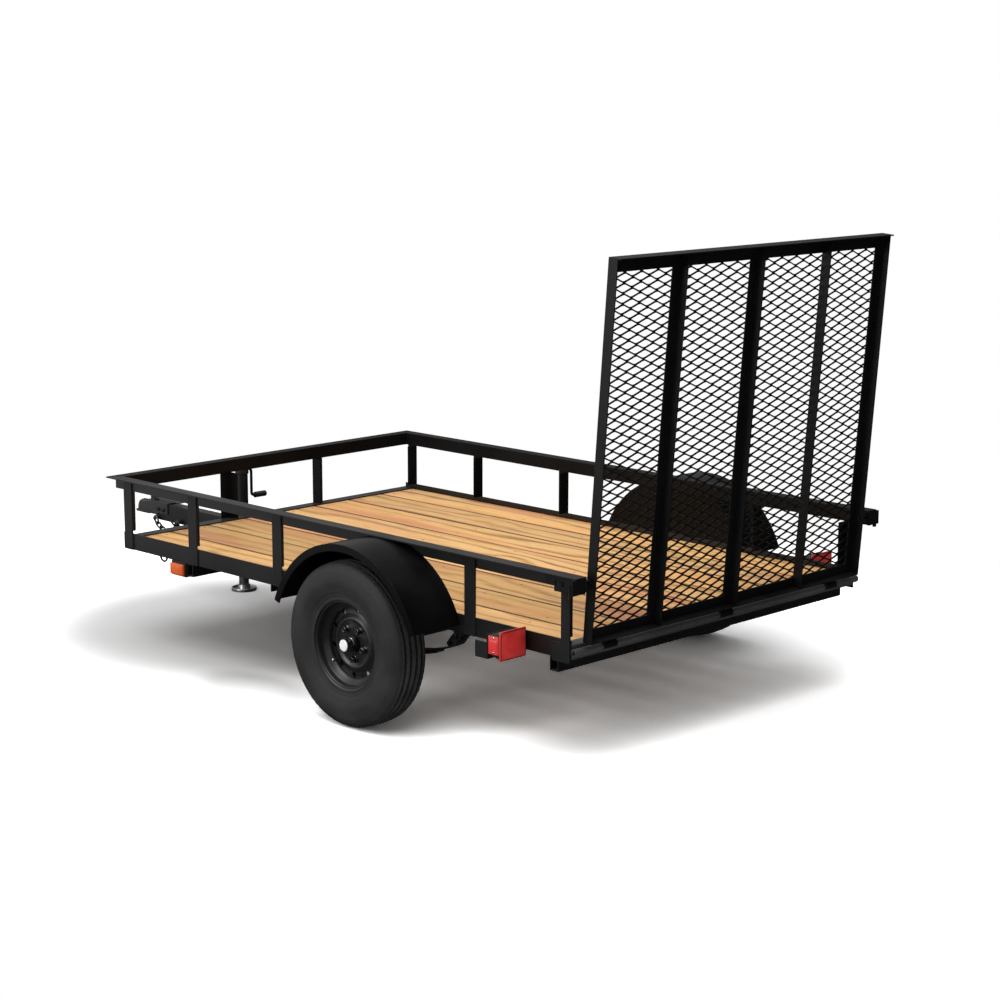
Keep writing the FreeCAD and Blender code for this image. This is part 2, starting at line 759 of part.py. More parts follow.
def fender():
    """Left fender: a rolled band with a turned-in lip, and a flat side panel on the frame."""
    r, w = fender_radius, fender_wall
    centre = V(fender_centre_x, 0, fender_centre_z)
    axis = V(0, -1, 0)
    y0, y1 = frame_outer_y, fender_outer_y

    def swept(x0, x1, ya, yb):
        strip = face([(x0, ya, 0), (x1, ya, 0), (x1, yb, 0), (x0, yb, 0)])
        strip.translate(centre)
        strip.rotate(centre, axis, fender_start)
        return strip.revolve(centre, axis, fender_end - fender_start)

    band = swept(r - w, r, y0, y1)
    lip = swept(r - fender_lip, r, y1 - w, y1)
    disc = rod_y(fender_centre_x, fender_centre_z, y0, y0 + w, 2 * r)
    panel_z = fender_centre_z + r * math.sin(math.radians(fender_start))
    panel = disc.cut(box(-2 * r, 2 * r, y0, y0 + w, fender_centre_z - 2 * r, panel_z))
    return fuse(band, lip, panel)


# Tongue and coupler

def tongue():
    """Rectangular tube from the first floor angle out to the coupler."""
    return square_tube(floor_angle_first_x, tongue_front_x, -tongue_half, tongue_half, tongue_bottom_z,
                       tongue_top_z, tongue_wall, "x")


def tongue_spacer():
    """Short tube between the front of the bed and the top of the tongue."""
    return square_tube(bed_front_x - floor_angle, bed_front_x, -tongue_half, tongue_half, tongue_top_z,
                       frame_bottom_z, tongue_wall, "y")


def coupler_outline(low_z):
    """Side of the coupler's body over low_z: level on the tongue, then down to the neck."""
    return [(coupler_rear_x, 0, low_z), (coupler_rear_x, 0, coupler_top_z),
            (tongue_front_x + coupler_flat, 0, coupler_top_z), (ball_x - coupler_neck_reach, 0, coupler_neck_z),
            (ball_x, 0, coupler_neck_z)]


def dome(radius):
    """Half ball over a straight skirt down to the coupler's mouth, in flats round the ball's centre."""
    slopes = [math.radians(a) for a in (90, 55, 25, 0)]
    arch = [(radius * math.cos(a), ball_z + radius * math.sin(a)) for a in slopes[1:]]
    profile = [(0, coupler_nose_z), (0, ball_z + radius)] + arch + [(radius, coupler_nose_z)]
    return moved(turned_z(profile), ball_x, 0, 0)


def coupler():
    """Pressed coupler: a sleeve over the tongue that slopes down to a domed ball socket."""
    half = tongue_half + coupler_wall
    throat_x = ball_x - coupler_throat
    side = coupler_outline(coupler_skirt_z) + [(ball_x, 0, coupler_nose_z), (throat_x, 0, coupler_nose_z),
                                               (throat_x - coupler_throat_slope, 0, coupler_skirt_z)]
    body = moved(face(side).extrude(V(0, 2 * half, 0)), 0, -half, 0)
    lip_z, lip = coupler_nose_z + coupler_wall, coupler_radius + coupler_lip
    flange = fuse(rod_z(ball_x, 0, coupler_nose_z, lip_z, 2 * lip),
                  box(ball_x - coupler_lip_reach, ball_x, -lip, lip, coupler_nose_z, lip_z))
    sleeve = box(coupler_rear_x, tongue_front_x, -tongue_half, tongue_half, 0, tongue_top_z)
    cavity = box(tongue_front_x, ball_x - coupler_web_reach, -socket_radius, socket_radius, 0,
                 ball_z + coupler_cavity_rise)
    return fuse(body, dome(coupler_radius), flange).cut(sleeve).cut(cavity).cut(dome(socket_radius))


def coupler_latch():
    """Lever on top of the coupler, between two ears that stand on its slope."""
    half = latch_width / 2
    slope = coupler_outline(coupler_skirt_z) + [(ball_x, 0, coupler_skirt_z)]
    under = moved(face(slope).extrude(V(0, latch_width, 0)), 0, -half, 0)
    x0, x1 = latch_pivot_x - latch_ear_rear, latch_pivot_x + latch_ear_front
    ears = [box(x0, x1, y, y + latch_wall, coupler_neck_z, coupler_top_z + latch_ear_rise).cut(under)
            for y in (-half, half - latch_wall)]
    top = coupler_top_z + latch_lever_rise
    lever = box(latch_rear_x, latch_pivot_x + latch_lever_front, latch_wall - half, half - latch_wall, top,
                top + latch_wall)
    grip = box(latch_rear_x, latch_rear_x + latch_grip, -half, half, top, top + latch_wall)
    reach = half + latch_bolt_reach
    bolt = bar_y(latch_pivot_x, top + latch_wall, -reach, reach, latch_bolt, bar_sides)
    return [fuse(*ears, lever, grip, bolt)]


def chain_link():
    """One link along X: a ring of six-sided bar in the XZ plane."""
    end = (chain_inside + chain_wire) / 2
    bend = (chain_inside_width + chain_wire) / 2
    quarter = [(end, bend - chain_corner), (end - chain_corner, bend)]
    half = quarter + [(-x, z) for x, z in reversed(quarter)]
    ring = half + [(-x, -z) for x, z in half]
    return bent_bar([(x, 0, z) for x, z in ring], (0, 1, 0), chain_wire, closed=True)


def safety_chain():
    """Left chain: a loop of links that hangs between two pins on the side of the tongue."""
    pitch = chain_inside - chain_slack
    step = 2 * math.asin(pitch / 2 / chain_bend)
    start = -step * chain_links / 2
    centre_z = chain_end_z + chain_bend * math.cos(start)
    radius = chain_bend * math.cos(step / 2)
    link = chain_link()
    out = []
    for i in range(chain_links):
        turn = start + (i + 0.5) * step
        one = link.copy()
        if i % 2:
            one.rotate(V(0, 0, 0), V(1, 0, 0), 90)
        one.rotate(V(0, 0, 0), V(0, 1, 0), -math.degrees(turn))
        x, z = chain_middle_x + radius * math.sin(turn), centre_z - radius * math.cos(turn)
        out.append(moved(one, x, chain_y, z))
        if i in (0, chain_links - 1):
            reach = (chain_inside - chain_pin - chain_slack) / 2 * (1 if i else -1)
            px, pz = x + reach * math.cos(turn), z + reach * math.sin(turn)
            head_y = chain_y + chain_wire / 2 + chain_side_gap
            pin = bar_y(px, pz, tongue_half, head_y, chain_pin, bolt_sides)
            out.append(fuse(pin, bar_y(px, pz, head_y, head_y + chain_wire / 2, chain_pin_head, bar_sides)))
    return out


# Jack

def jack_bracket():
    """Plate on the right side of the tongue with the stub that the jack swivels on."""
    y = -tongue_half
    plate = box(jack_x - bracket_length / 2, jack_x + bracket_length / 2, y, y - bracket_plate,
                tongue_bottom_z, tongue_top_z)
    stub = rod_y(jack_x, jack_pivot_z, y - bracket_plate, jack_y + jack_tube / 2 + pivot_gap, pivot_tube)
    return fuse(plate, stub)


def jack_body():
    """Outer tube of the jack with its swivel sleeve and cap."""
    tube = rod_z(jack_x, jack_y, jack_tube_bottom_z, jack_tube_top_z, jack_tube)
    sleeve = rod_y(jack_x, jack_pivot_z, jack_y, -tongue_half - bracket_plate - pivot_gap, pivot_sleeve)
    bore = rod_z(jack_x, jack_y, jack_tube_bottom_z, jack_tube_top_z - jack_tube_wall, jack_bore)
    stub = rod_y(jack_x, jack_pivot_z, jack_y + jack_tube / 2, 0, pivot_tube + 2 * running_fit)
    return fuse(tube, sleeve).cut(stub).cut(bore)


def jack_crank():
    """Gear head on top of the jack with a crank and its grip."""
    z = jack_tube_top_z
    r, top = jack_tube / 2 + crank_head_rim, z + crank_head_height
    peak = top + crank_dome_height
    cone = [(0, z), (r, z), (r, top), (crank_dome_diameter / 2, peak), (0, peak)]
    head = moved(turned_z(cone), jack_x, jack_y, 0)
    shaft_z = z + crank_shaft_rise
    low_z = shaft_z - crank_arm
    end_y = jack_y - jack_tube / 2 - crank_shaft_reach
    path = [(jack_x, jack_y, shaft_z), (jack_x, end_y, shaft_z), (jack_x, end_y, low_z),
            (jack_x, end_y - crank_grip, low_z)]
    grip = bar_y(jack_x, low_z, end_y - crank_grip_gap, end_y - crank_grip, crank_grip_diameter, eye_sides)
    return fuse(head, bent_bar(path, (1, 0, 0), crank_rod), grip)


def jack_inner_leg():
    """Inner tube of the jack, which slides in the outer one."""
    outer = rod_z(jack_x, jack_y, jack_foot_plate, jack_leg_top_z, jack_leg)
    return outer.cut(rod_z(jack_x, jack_y, jack_foot_plate, jack_leg_top_z, jack_leg - 2 * jack_tube_wall))


def jack_foot():
    """Pressed foot plate with a raised edge, and a socket round the leg."""
    t = jack_foot_plate
    plate = bar_z(0, 0, 0, jack_foot_edge, jack_foot_diameter, eye_sides)
    plate = plate.cut(bar_z(0, 0, t, jack_foot_edge, jack_foot_diameter - 2 * t, eye_sides))
    socket = rod_z(0, 0, t, jack_socket_height, jack_leg + 2 * jack_socket_wall)
    socket = socket.cut(rod_z(0, 0, t, jack_socket_height, jack_leg))
    return moved(fuse(plate, socket), jack_x, jack_y, 0)


# Gate, drawn upright with its hinge axis at X = Z = 0

def gate_place(shapes):
    """Gate shapes leaned back and set on the hinge."""
    out = []
    for s in shapes:
        s = s.copy()
        s.rotate(V(0, 0, 0), V(0, 1, 0), -gate_lean)
        out.append(moved(s, hinge_x, 0, gate_hinge_z))
    return out


def gate_frame():
    """Rim of angles: flat legs in the front plane, deep legs along the edge that point rearwards."""
    h, a, w = gate_half_width, gate_angle, gate_wall
    flat = box(-w, 0, -h, h, gate_bottom, gate_top).cut(box(-w, 0, a - h, h - a, gate_bottom + a, gate_top - a))
    sides = [box(-a, 0, s * h, s * (h - w), gate_bottom, gate_top) for s in (1, -1)]
    low = box(-a, 0, -h, h, gate_bottom, gate_bottom + w)
    high = box(-gate_top_flange, 0, -h, h, gate_top - w, gate_top)
    whole = gate_place([fuse(flat, low, high, *sides)])[0]
    return whole.cut(bar_y(latch_pin_x, latch_pin_z, -2 * h, 2 * h, latch_hole, bolt_sides))


def gate_uprights():
    """Three angles between the rim's bottom and top; the outer two are mirror images."""
    z0, z1 = gate_bottom + gate_angle, gate_top - gate_angle
    out = []
    for y in (upright_left_y, gate_angle / 2):
        flat = box(-gate_wall, 0, y - gate_angle, y, z0, z1)
        low = y - gate_angle
        deep = box(-gate_angle, -gate_wall, low, low + gate_wall, gate_bottom + gate_wall, gate_top - gate_wall)
        out.append(fuse(flat, deep))
    return gate_place([out[0], out[1], mirror_y(out[0])])


def gate_strands(direction, x0):
    """One layer of slanted strands on the front of the rim, trimmed to a rectangle."""
    h = gate_half_width - mesh_lap
    z0, z1 = gate_bottom + mesh_lap, gate_top - mesh_lap
    panel = face([(x0, -h, z0), (x0, h, z0), (x0, h, z1), (x0, -h, z1)])
    slope = direction * diamond_short / diamond_long
    half = strand_width / 2 * math.hypot(diamond_long, diamond_short) / diamond_long
    reach = h * abs(slope)
    count = int((z1 - z0 + 2 * reach) / diamond_short)
    out = []
    for i in range(count):
        z = z0 - reach + (i + 0.5) * diamond_short
        left, right = z + slope * h, z - slope * h
        strip = face([(x0, h, left - half), (x0, h, left + half),
                      (x0, -h, right + half), (x0, -h, right - half)])
        for piece in strip.common(panel).Faces:
            out.append(piece.extrude(V(strand_thickness, 0, 0)))
    return out


def gate_mesh():
    """Diamond mesh: two layers of strands that cross."""
    second = strand_thickness + strand_gap
    return gate_place(gate_strands(1, 0) + gate_strands(-1, second))


def gate_knuckles():
    """Hinge sleeves of the gate, each with the tab that carries the rim."""
    out = []
    half = knuckle_length / 2
    for y in knuckle_places:
        pipe = rod_y(0, 0, y - half, y + half, hinge_pipe - knuckle_relief)
        tab = box(-gate_wall, 0, y - half, y + half, 0, gate_bottom)
        bore = rod_y(0, 0, y - half, y + half, hinge_pin + 2 * running_fit)
        out.append(fuse(pipe, tab).cut(bore))
    return gate_place(out)


def hinge_pipes():
    """Pipe on the rear angle's outer face, cut away at each sleeve of the gate."""
    gap = knuckle_length / 2 + knuckle_gap
    stops = [-frame_outer_y]
    for y in knuckle_places:
        stops += [y - gap, y + gap]
    stops.append(frame_outer_y)
    out = []
    for y0, y1 in zip(stops[::2], stops[1::2]):
        pipe = rod_y(hinge_x, gate_hinge_z, y0, y1, hinge_pipe)
        out.append(pipe.cut(rod_y(hinge_x, gate_hinge_z, y0, y1, hinge_pin)))
    return out


def hinge_rod():
    """Pin through the pipe and the gate's sleeves."""
    reach = frame_outer_y + hinge_pin_overhang
    return rod_y(hinge_x, gate_hinge_z, -reach, reach, hinge_pin)


def gate_latch():
    """Left latch under the end of the rail: a slotted housing, an end plate and a bent pin."""
    y0, y1 = post_outer_y, post_outer_y + latch_box_width
    top, low = rail_under_z, rail_under_z - latch_box_height
    x0, x1 = rail_rear_x + latch_plate, rail_rear_x + latch_box_length
    t = latch_plate
    side = box(x0, x1, y0, y0 + t, low, rail_leg_z)
    side = fuse(side, box(x0, x1, y0, y1, low, low + t), box(x0, x1, y1 - t, y1, low, top))
    slot_x = x0 + latch_slot_start
    slot = box(slot_x, slot_x + latch_slot_length, y1 - t, y1, low + latch_slot_rise, top - latch_slot_drop)
    step = box(x1 - latch_step_length, x1, y0, y1, low, low + latch_step_height)
    end = box(rail_rear_x, x0, frame_outer_y, y1 + latch_plate_overhang, low, top)
    x, z, knee_y = latch_pin_x, latch_pin_z, y1 + latch_pin_reach
    path = [(x, gate_half_width + latch_pin_clearance, z), (x, knee_y, z), (x, knee_y, z - latch_handle_drop)]
    return fuse(side.cut(slot).cut(step), end, bent_bar(path, (1, 0, 0), latch_pin))


# Lamps and tie loops

def tail_lamp():
    """Left tail lamp: a block with rounded edges behind the fender."""
    block = box(tail_lamp_rear_x, tail_lamp_rear_x + tail_lamp_depth, tail_lamp_inner_y,
                tail_lamp_inner_y + tail_lamp_width, tail_lamp_bottom_z, tail_lamp_bottom_z + tail_lamp_height)
    edges = [e for e in block.Edges if abs(e.BoundBox.XMin - tail_lamp_rear_x) < 1 and e.BoundBox.XLength < 1]
    return block.makeFillet(tail_lamp_round, edges)


def lamp_bracket():
    """Plate on the side angle that carries the tail lamp, with a wing along its outer edge."""
    x = tail_lamp_rear_x + tail_lamp_depth
    w = lamp_bracket_wall
    outer = tail_lamp_inner_y + tail_lamp_width
    plate = box(x, x + w, frame_outer_y, outer, tail_lamp_bottom_z, frame_top_z)
    wing_z = tail_lamp_bottom_z + lamp_bracket_wing_height
    wing = box(x, x + lamp_bracket_wing, outer - w, outer, tail_lamp_bottom_z, wing_z)
    return fuse(plate, wing)


def marker_body():
    """Base of the left side marker, under the side angle."""
    return box(marker_front_x - marker_length, marker_front_x, frame_outer_y - marker_base + angle_wall,
               post_outer_y, frame_bottom_z - marker_height, frame_bottom_z)


def marker_glass():
    """Lens of the left side marker."""
    low = frame_bottom_z - marker_height + marker_rim
    lens = box(marker_front_x - marker_length + marker_rim, marker_front_x - marker_rim, post_outer_y,
               post_outer_y + marker_lens, low, frame_bottom_z - marker_rim)
    front = [e for e in lens.Edges if e.BoundBox.YMin > post_outer_y + marker_lens - 1]
    return lens.makeFillet(marker_lens / 2, front)


def tie_loop():
    """Left tie-down loop: a bent rod under the side angle."""
    b, z = (tie_width - tie_rod) / 2, frame_bottom_z
    path = [(-b, z), (-b, z - b / 2), (-b / 2, z - b), (b / 2, z - b), (b, z - b / 2), (b, z)]
    return bent_bar([(tie_x + a, tie_y, c) for a, c in path], (0, 1, 0), tie_rod)


def export(name, shapes):
    """Write one sub-part, with X counted from the middle of the trailer's length."""
    shapes = [moved(s, -middle_x, 0, 0) for s in (shapes if isinstance(shapes, list) else [shapes])]
    whole = shapes[0] if len(shapes) == 1 else Part.makeCompound(shapes)
    whole.exportStep(os.path.join("parts", name + ".step"))


def pair(name, shapes):
    """Write a left-hand sub-part and its mirror image as two."""
    shapes = shapes if isinstance(shapes, list) else [shapes]
    export(name + "_left", shapes)
    export(name + "_right", [mirror_y(s) for s in shapes])


def main():
    os.makedirs("parts", exist_ok=True)
    pair("side_angle", side_angle())
    export("front_angle", end_angle(bed_front_x, -1))
    export("rear_angle", end_angle(bed_rear_x, 1))
    export("floor_angles", floor_angles())
    export("under_beams", under_beams())
    export("deck_boards", deck_boards())
    pair("top_rail", side_rail())
    export("top_rail_front", front_rail())
    export("posts_left", side_posts(0))
    export("posts_right", [mirror_y(post) for post in side_posts(post_width - angle_wall)])
    export("posts_front", both_sides([front_post()]))
    export("axle", axle())
    export("leaf_springs", both_sides([leaf_spring()]))
    export("spring_hangers", both_sides(spring_hangers()))
    export("spring_shackles", both_sides(spring_shackles()))
    export("spring_clamps", both_sides(spring_clamp()))
    pair("tyre", tyre())
    pair("rim", rim())
    pair("hub", hub())
    pair("lug_nuts", lug_nuts())
    pair("dust_cap", dust_cap())
    pair("fender", fender())
    export("tongue", tongue())
    export("tongue_spacer", tongue_spacer())
    export("coupler", coupler())
    export("coupler_latch", coupler_latch())
    export("safety_chains", both_sides(safety_chain()))
    export("jack_bracket", jack_bracket())
    export("jack_body", jack_body())
    export("jack_crank", jack_crank())
    export("jack_leg", jack_inner_leg())
    export("jack_foot", jack_foot())
    export("gate_frame", gate_frame())
    export("gate_uprights", gate_uprights())
    export("gate_mesh", gate_mesh())
    export("gate_knuckles", gate_knuckles())
    export("hinge_pipes", hinge_pipes())
    export("hinge_rod", hinge_rod())
    export("gate_latches", both_sides([gate_latch()]))
    export("tail_lamps", both_sides([tail_lamp()]))
    export("tail_lamp_brackets", both_sides([lamp_bracket()]))
    export("side_marker_bases", both_sides([marker_body()]))
    export("side_markers", both_sides([marker_glass()]))
    export("tie_loops", both_sides([tie_loop()]))


main()
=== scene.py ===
"""Utility trailer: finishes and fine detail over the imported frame, in a plain studio.

Lengths are metres in the frame's own axes: +X runs forward to the coupler, +Y to the left, +Z up.
Each shape is computed with numpy as whole arrays, either on a grid of two parameters or as a
section carried along a path, and becomes one mesh whose object stays at the origin.
"""

from __future__ import annotations

import json
import logging
import math
from dataclasses import dataclass
from enum import Enum

import bmesh
import bpy
import numpy as np
from mathutils import Matrix, Vector

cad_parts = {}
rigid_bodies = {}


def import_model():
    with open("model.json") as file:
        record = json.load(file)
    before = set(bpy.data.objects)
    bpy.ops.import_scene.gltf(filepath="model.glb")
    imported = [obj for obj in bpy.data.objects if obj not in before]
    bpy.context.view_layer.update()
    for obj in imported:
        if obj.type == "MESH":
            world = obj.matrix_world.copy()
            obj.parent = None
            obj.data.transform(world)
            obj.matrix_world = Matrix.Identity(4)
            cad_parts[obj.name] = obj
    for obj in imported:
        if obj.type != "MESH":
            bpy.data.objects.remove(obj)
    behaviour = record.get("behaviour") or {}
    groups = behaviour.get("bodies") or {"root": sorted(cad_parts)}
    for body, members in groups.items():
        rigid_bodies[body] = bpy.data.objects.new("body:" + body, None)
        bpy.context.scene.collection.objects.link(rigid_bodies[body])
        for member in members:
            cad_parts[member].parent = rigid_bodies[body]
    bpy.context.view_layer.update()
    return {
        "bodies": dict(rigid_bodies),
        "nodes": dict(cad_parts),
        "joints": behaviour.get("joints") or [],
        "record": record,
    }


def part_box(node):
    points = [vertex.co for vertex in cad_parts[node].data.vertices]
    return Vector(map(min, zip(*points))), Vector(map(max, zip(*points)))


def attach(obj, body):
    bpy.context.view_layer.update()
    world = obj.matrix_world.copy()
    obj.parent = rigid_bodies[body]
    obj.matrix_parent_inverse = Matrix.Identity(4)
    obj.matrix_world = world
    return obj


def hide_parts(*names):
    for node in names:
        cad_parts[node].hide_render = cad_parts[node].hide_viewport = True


LOG = logging.getLogger("trailer")
MM = 0.001
TAU = 2 * math.pi
MERGE = 1e-6
# Colour of the dust on top faces, lighter than the paint; it also serves as painted sheen where light falls on them.
DUST_AND_SHEEN = (0.10, 0.095, 0.09)
WHITE = (1, 1, 1, 1)
LAMP_INNER_Y = 0.774
MARKER_INNER_Y = 0.772
ANGLE_INSET = 0.025
END_INSET = 0.075


class Side(Enum):
    """Which side of the trailer a piece is on, as the sign of its Y."""

    LEFT = 1
    RIGHT = -1

    @property
    def word(self) -> str:
        """The side's name, as node names end."""
        return self.name.lower()


class Axis(Enum):
    """The axis that a turned shape is built about, as the coordinates that become X, Y and Z."""

    X = (2, 0, 1)
    Y = (1, 2, 0)
    Z = (0, 1, 2)


@dataclass
class Patch:
    """Quads over points: what every shape function gives back.

    Attributes:
        points: One row of X, Y, Z for each vertex.
        quads: One row of four vertex numbers for each face.
    """

    points: np.ndarray
    quads: np.ndarray

    def moved(self, offset: tuple) -> Patch:
        """The same shape shifted by an offset."""
        return Patch(self.points + np.asarray(offset, float), self.quads)

    def turned(self, axis: tuple, degrees: float) -> Patch:
        """The same shape turned about an axis through the origin."""
        matrix = np.array(Matrix.Rotation(math.radians(degrees), 3, Vector(axis)))
        return Patch(self.points @ matrix.T, self.quads)

    def mirrored(self) -> Patch:
        """The same shape on the other side of the trailer, still facing outwards."""
        return Patch(self.points * (1, -1, 1), self.quads[:, ::-1])

    def on_side(self, side: Side) -> Patch:
        """The shape as drawn for the left, or its mirror image for the right."""
        return self if side is Side.LEFT else self.mirrored()


def joined(patches: list[Patch]) -> Patch:
    """Put several shapes into one, with their vertex numbers shifted in turn.

    Args:
        patches: The shapes.

    Returns:
        One shape with all their points and faces.
    """
    starts = np.cumsum([0] + [len(p.points) for p in patches[:-1]])
    quads = [p.quads + start for p, start in zip(patches, starts)]
    return Patch(np.concatenate([p.points for p in patches]), np.concatenate(quads))


def copies(patch: Patch, offsets: np.ndarray) -> Patch:
    """Repeat one shape at many places, as a sum of its points with each offset.

    Args:
        patch: The shape to repeat.
        offsets: One row of X, Y, Z for each copy.

    Returns:
        All copies as one shape.
    """
    offsets = np.atleast_2d(np.asarray(offsets, float))
    points = (patch.points[None] + offsets[:, None]).reshape(-1, 3)
    steps = len(patch.points) * np.arange(len(offsets))
    return Patch(points, (patch.quads[None] + steps[:, None, None]).reshape(-1, 4))


def grid(points: np.ndarray, wrap_rows: bool = False, wrap_columns: bool = False) -> Patch:
    """Skin a grid of points with quads between neighbours.

    Args:
        points: Array of rows by columns by three.
        wrap_rows: Join the last row to the first.
        wrap_columns: Join the last column to the first.

    Returns:
        The skinned shape.
    """
    rows, columns = points.shape[:2]
    number = np.arange(rows * columns).reshape(rows, columns)
    if wrap_rows:
        number = np.concatenate([number, number[:1]])
    if wrap_columns:
        number = np.concatenate([number, number[:, :1]], axis=1)
    corners = (number[:-1, :-1], number[:-1, 1:], number[1:, 1:], number[1:, :-1])
    return Patch(points.reshape(-1, 3), np.stack([c.ravel() for c in corners], axis=1))


def capped(rows: np.ndarray, first: object, last: object) -> Patch:
    """Skin rows of points round a closed section, and close each end onto one point.

    Args:
        rows: Array of rows by points of the section by three.
        first: The point that closes the first row.
        last: The point that closes the last row.

    Returns:
        The closed shape.
    """
    ends = [np.broadcast_to(np.asarray(point, float), (1, *rows.shape[1:])) for point in (first, last)]
    return grid(np.concatenate([ends[0], rows, ends[1]]), wrap_columns=True)


def full_turn(steps: int) -> np.ndarray:
    """Angles of a full turn in even steps, without the last, which is the first again."""
    return TAU * np.arange(steps) / steps


def squared_off(turn: np.ndarray, power: float) -> tuple[np.ndarray, np.ndarray]:
    """Cosine and sine of each angle, with their sizes raised to a power and their signs kept."""
    cos, sin = np.cos(turn), np.sin(turn)
    return np.sign(cos) * np.abs(cos) ** power, np.sign(sin) * np.abs(sin) ** power


def square_to(along: np.ndarray, up: tuple) -> tuple[np.ndarray, np.ndarray]:
    """Two unit directions square to a path at each step, of which the first is square to up as well."""
    along = along / np.linalg.norm(along, axis=1, keepdims=True)
    across = np.cross(along, up)
    across /= np.linalg.norm(across, axis=1, keepdims=True)
    return across, np.cross(across, along)


def lathe(profile: list, axis: Axis, segments: int = 48, closed: bool = False) -> Patch:
    """Turn a profile about an axis: each point (r, a) goes to (r cos t, r sin t, a) for t from 0 to a turn.

    Args:
        profile: Points as (radius, place along the axis).
        axis: The axis to turn about.
        segments: How many steps the full turn has.
        closed: Join the last point of the profile to the first.

    Returns:
        The turned shape about the origin.
    """
    radius, along = np.asarray(profile, float).T
    turn = full_turn(segments)
    flat = np.stack([np.outer(radius, np.cos(turn)), np.outer(radius, np.sin(turn)),
                     np.repeat(along[:, None], segments, axis=1)], axis=2)
    return grid(flat[:, :, list(axis.value)], wrap_rows=closed, wrap_columns=True)


def smooth_curve(points: list, steps: int) -> np.ndarray:
    """Catmull-Rom curve through points: on each span a cubic with slopes (next - previous) / 2.

    Args:
        points: The points to pass through, two or three numbers each.
        steps: How many steps each span has.

    Returns:
        One row for each step, with the last point at the end.
    """
    p = np.asarray(points, float)
    p = np.concatenate([2 * p[:1] - p[1:2], p, 2 * p[-1:] - p[-2:-1]])
    t = (np.arange(steps) / steps)[None, :, None]
    before, start, end, after = (p[i:len(p) - 3 + i][:, None] for i in range(4))
    curve = 0.5 * (2 * start + (end - before) * t + (2 * before - 5 * start + 4 * end - after) * t ** 2
                   + (3 * start - before - 3 * end + after) * t ** 3)
    return np.concatenate([curve.reshape(-1, p.shape[1]), p[-2:-1]])


def tube(path: np.ndarray, radius: float | np.ndarray, sides: int = 12, up: tuple = (0, 0, 1)) -> Patch:
    """Carry a round section along a path: point + radius (side cos t + other sin t), with closed ends.

    Args:
        path: One row of X, Y, Z for each step.
        radius: One radius, or one for each step.
        sides: How many points the section has.
        up: A direction that is never along the path.

    Returns:
        The tube.
    """
    path = np.asarray(path, float)
    radius = np.broadcast_to(radius, len(path))
    across, other = square_to(np.gradient(path, axis=0), up)
    turn = full_turn(sides)[None, :, None]
    ring = np.cos(turn) * across[:, None] + np.sin(turn) * other[:, None]
    return capped(path[:, None] + radius[:, None, None] * ring, path[0], path[-1])


def loop(path: np.ndarray, radius: float, sides: int = 10, up: tuple = (0, 0, 1)) -> Patch:
    """Carry a round section round a closed path: point + radius (side cos t + other sin t).

    Args:
        path: One row of X, Y, Z for each step, whose last point is followed by the first.
        radius: Radius of the section.
        sides: How many points the section has.
        up: A direction that is never along the path.

    Returns:
        The closed ring.
    """
    path = np.asarray(path, float)
    across, other = square_to(np.roll(path, -1, axis=0) - np.roll(path, 1, axis=0), up)
    turn = full_turn(sides)[None, :, None]
    points = path[:, None] + radius * (np.cos(turn) * across[:, None] + np.sin(turn) * other[:, None])
    return grid(points, wrap_rows=True, wrap_columns=True)


def eased_block(low: tuple, high: tuple, ease: float, steps: int = 3) -> Patch:
    """Block with round edges: sign(n) (half size - ease) + ease n for every direction n.

    Args:
        low: Lowest corner.
        high: Highest corner.
        ease: Radius of the edges.
        steps: How many steps a quarter turn has.

    Returns:
        The closed block.
    """
    low, high = np.asarray(low, float), np.asarray(high, float)
    ease = min(ease, 0.499 * float((high - low).min()))
    quarter = np.linspace(0, math.pi / 2, steps + 1)
    turn = np.concatenate([quarter + i * math.pi / 2 for i in range(4)])
    signs = np.repeat([(1, 1), (-1, 1), (-1, -1), (1, -1)], steps + 1, axis=0)
    lift = np.concatenate([quarter - math.pi / 2, quarter])
    side = np.repeat([-1, 1], steps + 1)
    normal = np.stack([np.outer(np.cos(lift), np.cos(turn)), np.outer(np.cos(lift), np.sin(turn)),
                       np.repeat(np.sin(lift)[:, None], len(turn), axis=1)], axis=2)
    sign = np.stack([np.tile(signs[:, 0], (len(lift), 1)), np.tile(signs[:, 1], (len(lift), 1)),
                     np.repeat(side[:, None], len(turn), axis=1)], axis=2)
    half, middle = (high - low) / 2, (low + high) / 2
    pole = np.array((0, 0, half[2]))
    return capped(sign * (half - ease) + ease * normal + middle, middle - pole, middle + pole)


def hexagon_radius(across: float, turn: np.ndarray) -> np.ndarray:
    """Distance from a hexagon's middle to its edge: half the width over the cosine of the angle off a flat."""
    return across / 2 / np.cos((turn + math.pi / 6) % (math.pi / 3) - math.pi / 6)


def hex_nut(across: float, height: float, bore: float, depth: float, segments: int = 48) -> Patch:
    """Nut along +Z: hexagon walls cut by a cone at the top, round an open bore.

    Args:
        across: Width across the flats.
        height: Height from the seat.
        bore: Diameter of the bore.
        depth: How deep the bore is from the top.
        segments: How many steps the turn has.

    Returns:
        The nut with its seat at Z = 0.
    """
    turn = full_turn(segments)
    wall = hexagon_radius(across, turn)
    crown = np.minimum(wall, across / 2 * 1.01)
    hole = np.full(segments, bore / 2)
    zero = np.zeros(segments)
    rows = [(zero, 0), (wall, 0), (wall, height * 0.84), (np.minimum(wall, across * 0.55), height * 0.92),
            (crown * 0.94, height), (hole * 1.16, height), (hole, height - 0.08 * across),
            (hole, height - depth), (zero, height - depth)]
    points = [np.stack([r * np.cos(turn), r * np.sin(turn), np.full(segments, z)], axis=1) for r, z in rows]
    return grid(np.array(points), wrap_columns=True)


